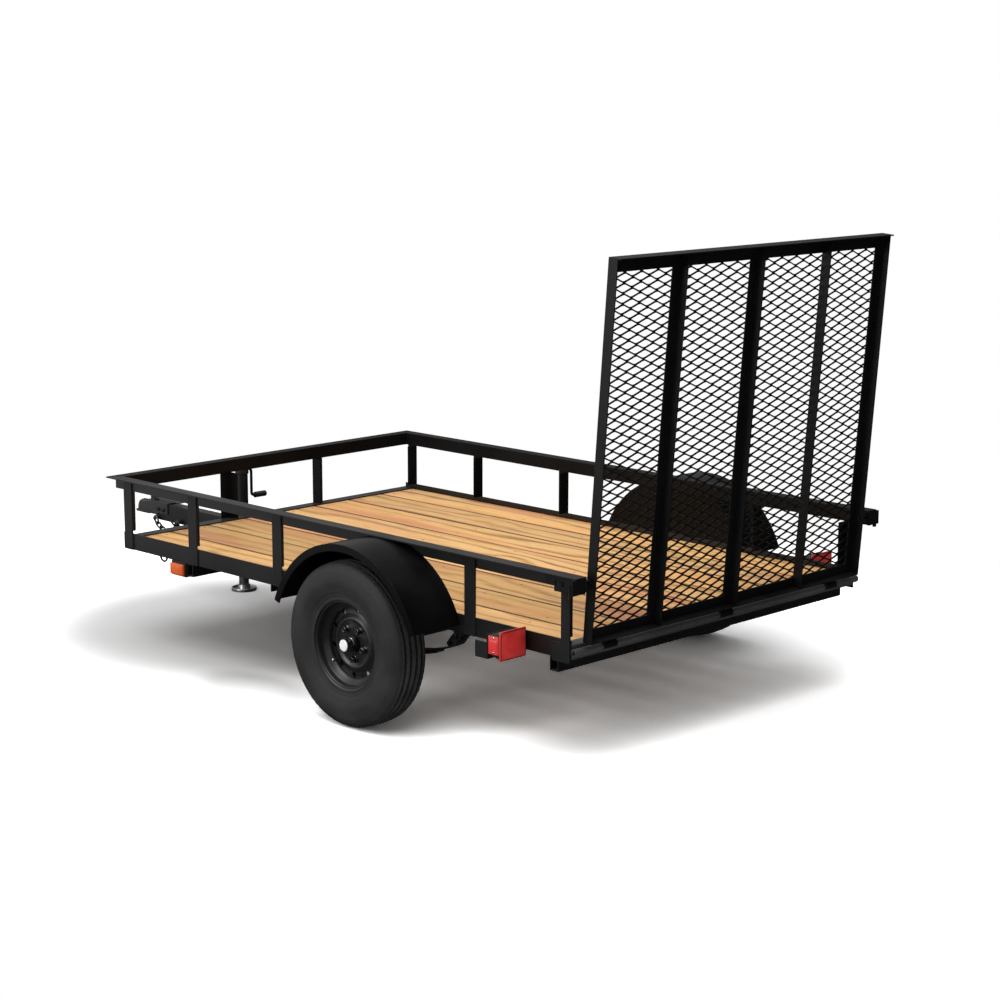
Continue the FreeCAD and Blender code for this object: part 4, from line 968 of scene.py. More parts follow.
@dataclass
class Wheel:
    """One wheel: tyre with tread, nuts, cap and valve, about the centre of its joint.

    Attributes:
        side: Which side it is on.
        centre: Where the axle meets the middle of the tyre.
        radius: Outer radius of the tyre.
        half_width: Half of the tyre's width.
        bead_radius: Radius where the tyre meets the rim.
        bead_half: Half of the distance between the beads.
        flange_radius: Outer radius of the rim's flange.
        grooves: Middle of each groove round the tread.
        groove_width: Width of a groove.
        groove_depth: Depth of a groove.
        sipes: How many waves and shoulder notches the tread has.
        sway: How far a groove's middle sways with the waves.
        shoulder: Where the shoulder notches start and end, across.
        notch_depth: Depth of a shoulder notch.
        ribs: Rings on the sidewall, each as its radius, height and width.
        turns: How many steps the tyre's turn has, a multiple of the sipes.
        nut_count: How many nuts it has.
        nut_circle: Radius of the circle that the nuts stand on.
        nut_phase: Where the first nut stands, in degrees.
        nut_seat: Where the nuts sit, along the axle.
        nut_across: Width of a nut across its flats.
        nut_height: Height of a nut.
        cap_radius: Radius of the dust cap.
        cap_start: Where the cap starts, along the axle.
        cap_length: Length of the cap.
        disc_form: The disc's section, as (radius, place along the axle).
        disc_wall: Thickness of the disc.
        vents: How many vents the disc has.
        vent_circle: Radius of the circle that they lie on.
        vent_radius: Radius of a vent.
        vent_phase: Where the first vent lies, in degrees.
        vent_band: Inner and outer radius of the ring that holds the vents.
        valve_radius: How far out the valve stands.
        valve_phase: Where it stands, in degrees.
    """

    side: Side
    centre: tuple
    radius: float = 0.294
    half_width: float = 0.077
    bead_radius: float = 0.1545
    bead_half: float = 0.051
    flange_radius: float = 0.1685
    grooves: tuple = (-0.0375, -0.0125, 0.0125, 0.0375)
    groove_width: float = 0.0075
    groove_depth: float = 0.0085
    sipes: int = 72
    sway: float = 0.0016
    shoulder: tuple = (0.045, 0.068)
    notch_depth: float = 0.0012
    ribs: tuple = ((0.1755, 0.0016, 0.0022), (0.190, 0.0008, 0.0012), (0.2585, 0.0010, 0.0014),
                   (0.2660, 0.0007, 0.0012))
    turns: int = 288
    nut_count: int = 5
    nut_circle: float = 0.05715
    nut_phase: float = 51.0
    nut_seat: float = 0.013
    nut_across: float = 0.021
    nut_height: float = 0.018
    cap_radius: float = 0.025
    cap_start: float = 0.030
    cap_length: float = 0.034
    disc_form: tuple = ((0.0315, 0.0130), (0.0450, 0.0130), (0.0720, 0.0132), (0.0790, 0.0165), (0.0850, 0.0200),
                        (0.0910, 0.0180), (0.1020, 0.0085), (0.1090, 0.0052), (0.1260, 0.0050), (0.1290, 0.0056))
    disc_wall: float = 0.005
    vents: int = 10
    vent_circle: float = 0.117
    vent_radius: float = 0.0098
    vent_phase: float = 23.0
    vent_band: tuple = (0.1045, 0.1285)
    valve_radius: float = 0.128
    valve_phase: float = -38.0

    @property
    def body(self) -> str:
        """The body that the wheel turns with."""
        return "wheel_" + self.side.word

    def in_place(self, patch: Patch) -> Patch:
        """Put a shape drawn about the axle, facing +Y, on this wheel's side."""
        return patch.on_side(self.side).moved(self.centre)

    def tyre_outline(self) -> np.ndarray:
        """Tyre section as rows of (radius, y): smooth from one bead over the tread to the other."""
        w, r = self.half_width, self.radius
        half = [(self.bead_radius + 0.0045, 0.0592), (0.1620, 0.0600), (0.1680, 0.0601), (0.176, 0.0612),
                (0.186, 0.0660), (0.200, 0.0715), (0.222, w - 0.0002), (0.244, w - 0.0006), (0.262, 0.0725),
                (0.275, 0.0665), (0.2835, 0.0605), (0.2885, 0.0540), (r - 0.0026, 0.0440), (r - 0.0012, 0.0300),
                (r, 0.0)]
        side = smooth_curve(half, 10)
        other = side[::-1][1:] * (1, -1)
        return np.concatenate([side, other])

    def tyre(self) -> Patch:
        """Tyre as a function of place on the outline and turn: the tread sinks by a smooth groove profile.

        Returns:
            A closed ring with circumferential grooves, shoulder notches and sidewall ribs.
        """
        outline = self.tyre_outline()
        radius, across = outline[:, 0][:, None], outline[:, 1][:, None]
        turn = full_turn(self.turns)[None, :]
        wave = np.abs((turn * self.sipes / TAU) % 1.0 - 0.5) * 2
        depth = np.zeros((len(outline), self.turns))
        for groove in self.grooves:
            offset = np.abs(across - groove - self.sway * (wave - 0.5)) / (self.groove_width / 2)
            depth = np.maximum(depth, self.groove_depth * np.clip(1.6 - 1.152 * offset, 0, 1))
        start, end = self.shoulder
        shoulder = np.clip((np.abs(across) - start) / 0.006, 0, 1) * np.clip((end - np.abs(across)) / 0.01, 0, 1)
        notch = np.clip((wave - 0.72) / 0.12, 0, 1)
        depth = np.maximum(depth, self.notch_depth * shoulder * notch)
        tread = radius > self.radius - 0.03
        lift = sum(height * np.exp(-((radius - place) / width) ** 2) for place, height, width in self.ribs)
        lift = np.sign(across) * lift * (np.abs(across) > 0.05)
        r = radius - np.where(tread, depth, 0) + 0 * turn
        y = across + lift + 0 * turn
        bead = np.array([(self.flange_radius, -self.bead_half), (self.bead_radius, -self.bead_half),
                         (self.bead_radius, self.bead_half), (self.flange_radius, self.bead_half)])
        ring = np.concatenate([np.stack([r, y], axis=2), np.repeat(bead[:, None], self.turns, axis=1)])
        points = np.stack([ring[..., 0] * np.cos(turn), ring[..., 1], ring[..., 0] * np.sin(turn)], axis=2)
        return grid(points, wrap_rows=True, wrap_columns=True)

    def mark_tread(self, piece: bpy.types.Object) -> None:
        """Write the tread's painted light on the tyre's points: from one on a rib, for a painted highlight, to minus
        one in a groove, for painted shade, nought elsewhere.

        Args:
            piece: The tyre.
        """
        mesh = piece.data
        points = np.zeros(3 * len(mesh.vertices))
        mesh.vertices.foreach_get("co", points)
        x, y, z = (points.reshape(-1, 3) - self.centre).T
        radius, across = np.hypot(x, z), np.abs(y)
        crown = np.interp(across, (0.0, 0.030, 0.044, 0.054), self.radius - np.array((0.0, 0.0012, 0.0026, 0.0055)))
        level = 1 - 2 * np.clip(2.0 * (crown - radius) / self.groove_depth, 0, 1)
        level[(across > 0.050) | (radius < self.radius - 0.020)] = 0.0
        mesh.attributes.new("tread", "FLOAT", "POINT").data.foreach_set("value", level.astype(np.float32))

    def around(self, count: int, radius: float, phase: float) -> list[tuple]:
        """Places on a circle about the axle, as (x, z)."""
        turns = [math.radians(phase) + TAU * i / count for i in range(count)]
        return [(radius * math.cos(t), radius * math.sin(t)) for t in turns]

    def nuts(self) -> Patch:
        """Five nuts with open ends, each over a cone seat, with the stud's end inside."""
        nut = facing(hex_nut(self.nut_across, self.nut_height, 0.0125, 0.006), (0, 1, 0))
        collar = lathe([(0, 0), (0.0125, 0), (0.0125, 0.0022), (0, 0.0022)], Axis.Z, 32)
        stud = lathe([(0, 0), (0.0056, 0), (0.0056, 0.0135), (0.0048, 0.0148), (0, 0.0148)], Axis.Z, 24)
        one = joined([nut, facing(collar, (0, 1, 0)), facing(stud, (0, 1, 0))])
        places = [(x, self.nut_seat, z) for x, z in self.around(self.nut_count, self.nut_circle, self.nut_phase)]
        return copies(one, np.array(places))

    def cap(self) -> Patch:
        """Dust cap: a drawn cup with a flanged foot, its end left for the plug."""
        r, n, s = self.cap_radius, self.cap_length, self.cap_start
        profile = [(0, s), (r, s), (r, s + 0.004), (r - 0.0016, s + 0.0055), (r - 0.0018, s + 0.012),
                   (r - 0.0020, s + n - 0.0050), (r - 0.0030, s + n - 0.0026), (r - 0.0052, s + n - 0.0018),
                   (0, s + n - 0.0018)]
        return lathe(profile, Axis.Y, 64)

    def plug(self) -> Patch:
        """Pale plug pressed into the end of the dust cap; its white paints the bright reflection on the cap's end."""
        r, end = self.cap_radius - 0.0046, self.cap_start + self.cap_length
        return lathe([(0, end - 0.004), (r, end - 0.004), (r, end - 0.0014), (r - 0.0008, end - 0.0005),
                      (r - 0.0024, end - 0.0001), (0, end)], Axis.Y, 64)

    def barrel(self) -> Patch:
        """Ring of the rim: rolled lips, bead seats and the drop centre, as one closed profile."""
        seen = [(0.1685, 0.0510), (0.1687, 0.0540), (0.1672, 0.0574), (0.1645, 0.0588), (0.1615, 0.0574),
                (0.1588, 0.0545), (0.1555, 0.0528), (0.1512, 0.0532), (0.1492, 0.0518), (0.1484, 0.0490),
                (0.1480, 0.0330), (0.1462, 0.0296), (0.1290, 0.0212), (0.1256, 0.0184), (0.1245, 0.0140),
                (0.1245, 0.0060), (0.1262, 0.0020), (0.1480, -0.0290), (0.1485, -0.0520), (0.1500, -0.0560),
                (0.1660, -0.0585), (0.1685, -0.0560), (0.1685, -0.0510)]
        under = [(0.1645, -0.0510), (0.1525, -0.0505), (0.1525, -0.0300), (0.1290, 0.0020), (0.1285, 0.0140),
                 (0.1300, 0.0180), (0.1500, 0.0290), (0.1525, 0.0310), (0.1525, 0.0505), (0.1645, 0.0510)]
        return lathe(seen + under, Axis.Y, 96, closed=True)

    def disc(self) -> Patch:
        """Pressed disc: y = f(r) from hub to barrel, with a sector of quads fanned round each vent.

        In each sector a point goes from the vent's edge to the sector's outline in even shares of
        (radius, angle). The back is the same surface set in by the disc's wall.

        Returns:
            The closed disc with its vents open.
        """
        form = smooth_curve(list(self.disc_form), 8)
        low, high, half = self.vent_band[0], self.vent_band[1], math.pi / self.vents
        arc = np.linspace(-half, half, 9)[:-1]
        rise = np.linspace(low, high, 5)[:-1]
        outline = np.concatenate([
            np.stack([np.full(8, low), arc], axis=1), np.stack([rise, np.full(4, half)], axis=1),
            np.stack([np.full(8, high), -arc], axis=1), np.stack([low + high - rise, np.full(4, -half)], axis=1)])
        centre, bore = self.vent_circle, self.vent_radius
        lean = np.arctan2(centre * outline[:, 1], outline[:, 0] - centre)
        a, b = centre + bore * np.cos(lean), bore * np.sin(lean)
        hole = np.stack([np.hypot(a, b), np.arctan2(b, a)], axis=1)
        share = np.linspace(1, 0, 4)[:, None, None]
        fan = share * outline + (1 - share) * hole

        def skin(plane: np.ndarray) -> Patch:
            """Front and back of a ring of (radius, angle), joined along its last row."""
            radius, angle = plane[..., 0], plane[..., 1]
            depth = np.interp(radius, form[:, 0], form[:, 1])
            sides = [np.stack([radius * np.cos(angle), y, radius * np.sin(angle)], axis=2)
                     for y in (depth, depth - self.disc_wall)]
            return grid(np.concatenate([sides[0], sides[1][::-1]]), wrap_columns=True)

        start = math.radians(self.vent_phase)
        patches = [skin(fan + (0, start + 2 * half * i)) for i in range(self.vents)]
        angles = start - half + 2 * half / 8 * np.arange(8 * self.vents)
        for radii in (np.linspace(low, form[0, 0], 18), np.linspace(high, form[-1, 0], 3)):
            patches.append(skin(np.stack(np.meshgrid(radii, angles, indexing="ij"), axis=2)))
        return joined(patches)

    def valve(self, along: float, profile: list) -> Patch:
        """Turned part of the valve stem, which leans out from the rim.

        Args:
            along: Where it starts on the stem.
            profile: Its points as (radius, height).

        Returns:
            The part.
        """
        x, z = self.around(1, self.valve_radius, self.valve_phase)[0]
        share = -0.25 / self.valve_radius
        lean = Vector((share * x, 1, share * z)).normalized()
        part = facing(lathe(profile, Axis.Z, 20), tuple(lean))
        return part.moved((x + along * lean.x, along * lean.y, z + along * lean.z))

    def build(self, palette: Palette) -> None:
        """Make the wheel's pieces.

        Args:
            palette: The finishes.
        """
        word = self.side.word
        pieces = [
            ("steel_rim", joined([self.barrel(), self.disc()]), "rim_paint", "rim_paint", ("rim_" + word,)),
            ("tread_tyre", self.tyre(), "tyre_rubber", "tyre_rubber", ("tyre_" + word,)),
            ("open_nuts", self.nuts(), "bright_plate", "bright_plate", ("lug_nuts_" + word,)),
            ("hub_cap", self.cap(), "bright_plate", "bright_plate", ("dust_cap_" + word,)),
            # The pale plug paints the bright reflection on the cap's end.
            ("hub_plug", self.plug(), "bright_plate", "pale_plug", ()),
            ("valve_stem", self.valve(0.0, [(0, 0), (0.0075, 0), (0.0072, 0.004), (0.0045, 0.009), (0.0042, 0.022),
                                            (0, 0.022)]), "tyre_rubber", "tyre_rubber", ()),
            ("valve_tip", self.valve(0.0215, [(0, 0), (0.0042, 0), (0.0044, 0.001), (0.0044, 0.008),
                                              (0.0036, 0.0095), (0, 0.0098)]), "bright_plate", "polished", ()),
        ]
        for name, patch, slot, finish, replaced in pieces:
            piece = make_piece(f"{name}_{word}", self.in_place(patch), self.body, palette[finish], replaced)
            if name == "tread_tyre":
                self.mark_tread(piece)


@dataclass
class Deck:
    """Plank floor and the screws that hold it to the angles beneath.

    Attributes:
        low: Lowest corner of the floor.
        high: Highest corner of the floor.
        count: How many planks lie side by side.
        gap: Gap between planks.
        ease: Radius of a plank's long edges.
        seed: Start of the random draws.
    """

    low: Vector
    high: Vector
    count: int = 8
    gap: float = 0.006
    ease: float = 0.004
    seed: int = 11

    def plank_edges(self) -> np.ndarray:
        """Right-hand edge of each plank."""
        pitch = (self.high.y - self.low.y + self.gap) / self.count
        return self.low.y + pitch * np.arange(self.count)

    @property
    def width(self) -> float:
        """Width of one plank."""
        return (self.high.y - self.low.y + self.gap) / self.count - self.gap

    def plank(self, y: float, bow: float) -> Patch:
        """Plank along X: an eased section, whose top is cupped by bow times one minus the square across.

        Args:
            y: Right-hand edge.
            bow: Depth of the cup.

        Returns:
            The closed plank.
        """
        e, w = self.ease, self.width
        quarter = np.linspace(0, math.pi / 2, 4)
        corners = [(w - e, -e, 0), (e, -e, 1), (e, e, 2), (w - e, e, 3)]
        depth = self.high.z - self.low.z
        section = []
        for cy, cz, step in corners:
            turn = quarter + step * math.pi / 2
            base = depth if cz < 0 else 0.0
            section.append(np.stack([cy + e * np.cos(turn), base + cz + e * np.sin(turn)], axis=1))
        section = np.concatenate(section)
        across = (section[:, 0] / w - 0.5) * 2
        drop = bow * (1 - across ** 2) * (section[:, 1] > depth / 2)
        ends = np.array([0.0, 0.0015, 0.5, 0.9985, 1.0])
        x = self.low.x + ends * (self.high.x - self.low.x)
        inset = np.array([0.0012, 0.0, 0.0, 0.0, 0.0012])
        middle = np.array([w / 2, depth / 2])
        half = np.abs(section - middle).max(axis=0)
        rows = []
        for place, pull in zip(x, inset):
            shrunk = middle + (section - middle) * (1 - pull / half)
            rows.append(np.stack([np.full(len(section), place), y + shrunk[:, 0],
                                  self.low.z + shrunk[:, 1] - drop], axis=1))
        first, last = ((place, y + w / 2, self.low.z + depth / 2) for place in (x[0], x[-1]))
        return capped(np.array(rows), first, last)

    def build(self, palette: Palette, angle_places: list[float]) -> None:
        """Make the planks and screws.

        Args:
            palette: The finishes.
            angle_places: X of the middle of each angle under the floor.
        """
        draw = np.random.default_rng(self.seed)
        planks = [self.plank(y, bow) for y, bow in zip(self.plank_edges(), draw.uniform(0.0002, 0.0008, self.count))]
        piece = make_piece("planks", joined(planks), "frame", palette["board_wood"], ("deck_boards",),
                           crease=60.0)
        mesh = piece.data
        y = np.zeros(3 * len(mesh.vertices))
        mesh.vertices.foreach_get("co", y)
        number = np.floor((y[1::3] - self.low.y) / (self.width + self.gap)).clip(0, self.count - 1).astype(int)
        tones = draw.uniform(0, 1, self.count)
        tone = mesh.attributes.new("plank", "FLOAT", "POINT")
        tone.data.foreach_set("value", tones[number].astype(np.float32))
        head = domed_head(0.0046, 0.0012)
        ys = np.concatenate([self.plank_edges() + share * self.width for share in (0.22, 0.78)])
        places = [(x, y, self.high.z - 0.0004) for x in angle_places for y in ys]
        make_piece("deck_screws", copies(head, np.array(places)), "frame", palette["zinc_steel"])


@dataclass
class RampGate:
    """Expanded metal, welds and rings of the ramp gate, in the gate's own leaning plane.

    Attributes:
        hinge: A point on the hinge axis.
        lean: How far the gate leans back, in degrees.
        half_width: Half of the gate's width.
        bottom: Lowest edge above the hinge, along the gate.
        top: Highest edge above the hinge, along the gate.
        lap: How far the mesh's edge stands in from the rim's edge.
        long_way: Length of one diamond.
        short_way: Height of one diamond.
        strand: Width of one strand in the sheet.
        sheet: Thickness of the sheet.
        twist: How far the strands are turned out of the sheet, in degrees.
        heavy: Factor of a strand's section where it falls to the left.
        light: Factor of its section where it rises to the left.
        bond: Length over which two strands are joined.
        upright_half: Half of an upright's width.
        leg: Width of the rim's angle in the plane of the gate.
        header_drop: How far the plates under the top angle reach below it.
        upright_places: Middle of each upright across.
    """

    hinge: Vector
    lean: float = 4.33
    half_width: float = 0.725
    bottom: float = 0.030
    top: float = 1.288
    lap: float = 0.014
    long_way: float = 0.080
    short_way: float = 0.034
    strand: float = 0.0058
    sheet: float = 0.0024
    twist: float = 30.0
    heavy: float = 1.10
    light: float = 0.98
    bond: float = 0.010
    upright_half: float = 0.019
    leg: float = 0.038
    header_drop: float = 0.013
    upright_places: tuple = (0.398, 0.0, -0.398)

    def in_place(self, patch: Patch) -> Patch:
        """Lean a shape drawn upright on the hinge axis, and set it on the hinge."""
        return patch.turned((0, 1, 0), -self.lean).moved((self.hinge.x, 0, self.hinge.z))

    def mesh_strands(self) -> Patch:
        """Expanded metal: each strand zigzags from bond to bond with a section turned out of the sheet.

        Along Y the strand's height is a trapezoid wave between its lower and upper bonds, and its
        depth goes the other way, so that neighbours meet as one slanted bond.

        Returns:
            All strands as one shape.
        """
        y0, y1 = -self.half_width + self.lap, self.half_width - self.lap
        z0, z1 = self.bottom + self.lap, self.top - self.lap
        tilt = math.radians(self.twist)
        rise = self.strand * math.cos(tilt)
        depth = self.strand * math.sin(tilt)
        half_period = self.long_way / 2
        flat = self.bond / 2
        steps = np.arange(math.floor(y0 / half_period) - 1, math.ceil(y1 / half_period) + 2)
        knees = np.concatenate([steps * half_period - flat, steps * half_period + flat])
        crest = np.concatenate([steps % 2, steps % 2]).astype(float)
        order = np.argsort(knees)
        knees, crest = knees[order], crest[order]
        spans = np.concatenate([steps - 1, steps])[order]
        inside = (knees > y0) & (knees < y1)
        y = np.concatenate([[y0], knees[inside], [y1]])
        wave = np.interp(y, knees, crest)
        spans = spans[inside]
        spans = np.concatenate([spans[:1], spans, spans[-1:]])
        count = int((z1 - z0 - rise) / (self.short_way / 2))
        corner = np.array([(-0.5, -0.5), (0.5, -0.5), (0.5, 0.5), (-0.5, 0.5)])
        along_sheet = np.array([math.sin(tilt), math.cos(tilt)])
        through_sheet = np.array([math.cos(tilt), -math.sin(tilt)])
        section = (corner[:, :1] * self.strand * along_sheet + corner[:, 1:] * self.sheet * through_sheet)
        middle_x = depth + self.sheet * math.cos(tilt) / 2
        strands = []
        for i in range(count):
            level = wave if i % 2 == 0 else 1 - wave
            z = z0 + rise / 2 + i * self.short_way / 2 + level * (self.short_way / 2 - rise)
            x = middle_x + (0.5 - level) * depth
            size = np.where((spans + i) % 2 == 1, self.heavy, self.light)[:, None]
            ring = np.stack([x[:, None] + size * section[None, :, 0], np.repeat(y[:, None], 4, axis=1),
                             z[:, None] + size * section[None, :, 1]], axis=2)
            strands.append(capped(ring, ring[0].mean(axis=0), ring[-1].mean(axis=0)))
        return joined(strands)

    def welds(self) -> Patch:
        """Beads where the uprights meet the rim's lower and upper angle."""
        beads, x = [], -0.0042
        for y in self.upright_places:
            for z in (self.bottom + self.leg, self.top - self.leg):
                beads.append(weld_bead((x, y - self.upright_half, z), (x, y + self.upright_half, z), 2.4 * MM))
        return joined(beads)

    def header(self) -> Patch:
        """Narrow plates under the top angle, one between each pair of uprights, against the back of its leg."""
        low, high = self.top - self.leg - self.header_drop, self.top - self.leg + 0.002
        edges = [self.half_width - self.leg]
        for y in self.upright_places:
            edges += [y + self.upright_half, y - self.upright_half]
        edges.append(self.leg - self.half_width)
        return joined([eased_block((-0.0040, right - 0.001, low), (-0.0004, left + 0.001, high), 0.0008, 2)
                       for left, right in zip(edges[::2], edges[1::2])])

    def build(self, palette: Palette) -> None:
        """Make the gate's pieces.

        Args:
            palette: The finishes.
        """
        paint = palette["gate_paint"]
        make_piece("expanded_metal", self.in_place(self.mesh_strands()), "gate", paint, ("gate_mesh",),
                   crease=30.0)
        make_piece("gate_welds", self.in_place(self.welds()), "gate", paint)
        make_piece("gate_header", self.in_place(self.header()), "gate", paint)


@dataclass
class TailLamp:
    """Square tail lamp: black housing, a red lens with a raised rim to the rear, a red reflector on the side.

    Attributes:
        side: Which side it is on.
        low: Lowest corner of the left lamp's block.
        high: Highest corner of the left lamp's block.
        lens_depth: Depth of the lens along the trailer.
        swell: How far the lens's face swells.
        taper: Height of the housing at the bracket, as a share of its height at the lens.
    """

    side: Side
    low: Vector
    high: Vector
    lens_depth: float = 0.012
    swell: float = 0.0045
    taper: float = 0.68

    def face(self, inset: float) -> tuple[np.ndarray, np.ndarray]:
        """Middle of the lamp's block, and half of its size less an inset across and up."""
        low, high = np.array(self.low), np.array(self.high)
        return (low + high) / 2, (high - low) / 2 - (0, inset, inset)

    def lens(self) -> Patch:
        """Rear lens: a plate with round edges whose rear face swells by swell times (1 - u^4)(1 - v^4)."""
        low, high = self.low, self.high
        plate = eased_block((low.x + self.swell, low.y, low.z), (low.x + self.lens_depth, high.y, high.z), 0.005, 4)
        u = np.linspace(-1, 1, 25)[:, None]
        v = np.linspace(-1, 1, 21)[None, :]
        rise = self.swell * (1 - u ** 4) * (1 - v ** 4)
        middle, half = self.face(0.004)
        y, z = middle[1] + half[1] * u + 0 * v, middle[2] + half[2] * v + 0 * u
        front = np.stack([low.x + self.swell - rise, y, z], axis=2)
        back = np.stack([np.full_like(y, low.x + self.swell + 0.003), y, z], axis=2)
        face = grid(np.concatenate([front, back[::-1]]), wrap_rows=True)
        caps = [grid(np.stack([front[:, i], back[:, i]])) for i in (0, -1)]
        return joined([plate, face, *caps])

    def housing(self) -> Patch:
        """Black box behind the rear lens: z' = middle + (z - middle) share, with the share falling to the bracket."""
        low, high, inset = self.low, self.high, 0.0035
        box = eased_block((low.x + self.lens_depth - 0.002, low.y + inset, low.z + inset),
                          (high.x, high.y - inset, high.z - inset), 0.003)
        middle = (low.z + high.z) / 2
        along = np.clip((box.points[:, 0] - low.x - self.lens_depth) / (high.x - low.x - self.lens_depth), 0, 1)
        box.points[:, 2] = middle + (box.points[:, 2] - middle) * (1 - (1 - self.taper) * along)
        return box

    def reflector(self) -> Patch:
        """Red plate on the outer face of the housing, with a raised middle."""
        low, high = self.low, self.high
        middle = (low.z + high.z) / 2
        start, end = low.x + self.lens_depth + 0.003, high.x - 0.001
        outer = eased_block((start, high.y - 0.0075, middle - 0.031), (end, high.y - 0.0015, middle + 0.031), 0.002)
        inner = eased_block((start + 0.006, high.y - 0.004, middle - 0.018),
                            (end - 0.006, high.y, middle + 0.018), 0.0015)
        return joined([outer, inner])

    def border(self) -> Patch:
        """Raised ring near the edge of the rear lens: (half |cos t|^0.2, half |sin t|^0.2), signs kept."""
        middle, half = self.face(0.0035)
        across, up = squared_off(np.linspace(0, TAU, 65), 0.2)
        path = np.stack([np.full(65, self.low.x + self.swell), middle[1] + half[1] * across,
                         middle[2] + half[2] * up], axis=1)
        return tube(path, 0.0014, sides=6, up=(1, 0, 0))

    def screws(self) -> Patch:
        """Two screws in the reflector."""
        x = (self.low.x + self.lens_depth + self.high.x) / 2
        z = (self.low.z + self.high.z) / 2
        head = facing(domed_head(0.0038, 0.0014), (0, 1, 0))
        return copies(head, np.array([(x, self.high.y - 0.0018, z + s * 0.0245) for s in (1, -1)]))

    def build(self, palette: Palette) -> list[bpy.types.Object]:
        """Make the lamp's pieces.

        Args:
            palette: The finishes.

        Returns:
            The lamp's pieces.
        """
        shapes = [("tail_lens", self.lens(), "lamp_red"), ("tail_lens_border", self.border(), "lamp_base"),
                  ("tail_lamp_housing", self.housing(), "lamp_base"), ("tail_reflector", self.reflector(), "lamp_red"),
                  ("tail_lamp_screws", self.screws(), "bright_plate")]
        return [make_piece(f"{name}_{self.side.word}", patch.on_side(self.side), "frame",
                           palette["polished" if slot == "bright_plate" else slot]) for name, patch, slot in shapes]


@dataclass
class SideMarker:
    """Amber marker lens: a rounded block with upright ribs.

    Attributes:
        low: Lowest corner of the left lens.
        high: Highest corner of the left lens.
        ribs: How many ribs it has.
    """

    low: Vector
    high: Vector
    ribs: int = 7

    def build(self, palette: Palette) -> None:
        """Make both lenses.

        Args:
            palette: The finishes.
        """
        low, high = self.low, self.high
        body = eased_block(tuple(low), (high.x, high.y - 0.001, high.z), 0.005, 4)
        places = np.linspace(low.x + 0.010, high.x - 0.010, self.ribs)
        bars = [tube(np.array([(x, high.y - 0.0016, z) for z in np.linspace(low.z + 0.006, high.z - 0.006, 3)]), 0.0015,
                     sides=8, up=(1, 0, 0)) for x in places]
        left = joined([body, *bars])
        make_piece("marker_lenses", joined([left.on_side(side) for side in Side]), "frame",
                   palette["marker_amber"], ("side_markers",))


@dataclass
class SafetyChain:
    """Loop of round links between two pins on each side of the tongue.

    Attributes:
        middle: X, Y and the pins' Z of the left loop.
        tongue_half: Half of the tongue's width.
        wire: Diameter of the links' bar.
        inside: Free length inside a link.
        inside_width: Free width inside a link.
        slack: How much less than that length each link takes up.
        bend: Radius of the loop.
        links: How many links it has.
    """

    middle: tuple = (1.52305, 0.0405, 0.281)
    tongue_half: float = 0.0255
    wire: float = 0.008
    inside: float = 0.030
    inside_width: float = 0.012
    slack: float = 0.0007
    bend: float = 0.090
    links: int = 7

    def link(self) -> Patch:
        """Link: bar round the curve (end |cos t|^0.62, half |sin t|^0.62), signs kept."""
        end, half = (self.inside + self.wire) / 2, (self.inside_width + self.wire) / 2
        along, across = squared_off(full_turn(36), 0.62)
        path = np.stack([end * along, np.zeros(36), half * across], axis=1)
        return loop(path, self.wire / 2, 12, up=(0, 1, 0))

    def one_side(self) -> Patch:
        """Links along an arc, each other one turned a quarter, and a headed pin at both ends."""
        pitch = self.inside - self.slack
        step = 2 * math.asin(pitch / 2 / self.bend)
        start = -step * self.links / 2
        x0, y, z0 = self.middle
        centre = z0 + self.bend * math.cos(start)
        radius = self.bend * math.cos(step / 2)
        ring, out = self.link(), []
        pin = lathe([(0, 0), (0.005, 0), (0.005, self.wire + 0.011), (0.010, self.wire + 0.011),
                     (0.010, self.wire + 0.0135), (0.008, self.wire + 0.0155), (0, self.wire + 0.0155)], Axis.Y, 24)
        for i in range(self.links):
            turn = start + (i + 0.5) * step
            one = ring.turned((1, 0, 0), 90) if i % 2 else ring
            x, z = x0 + radius * math.sin(turn), centre - radius * math.cos(turn)
            out.append(one.turned((0, 1, 0), -math.degrees(turn)).moved((x, y, z)))
            if i in (0, self.links - 1):
                reach = (self.inside - 0.010 - self.slack) / 2 * (1 if i else -1)
                out.append(pin.moved((x + reach * math.cos(turn), self.tongue_half, z + reach * math.sin(turn))))
        return joined(out)

    def build(self, palette: Palette) -> None:
        """Make the chains of both sides.

        Args:
            palette: The finishes.
        """
        left = self.one_side()
        make_piece("chain_loops", joined([left.on_side(side) for side in Side]), "frame",
                   palette["zinc_steel"], ("safety_chains",))


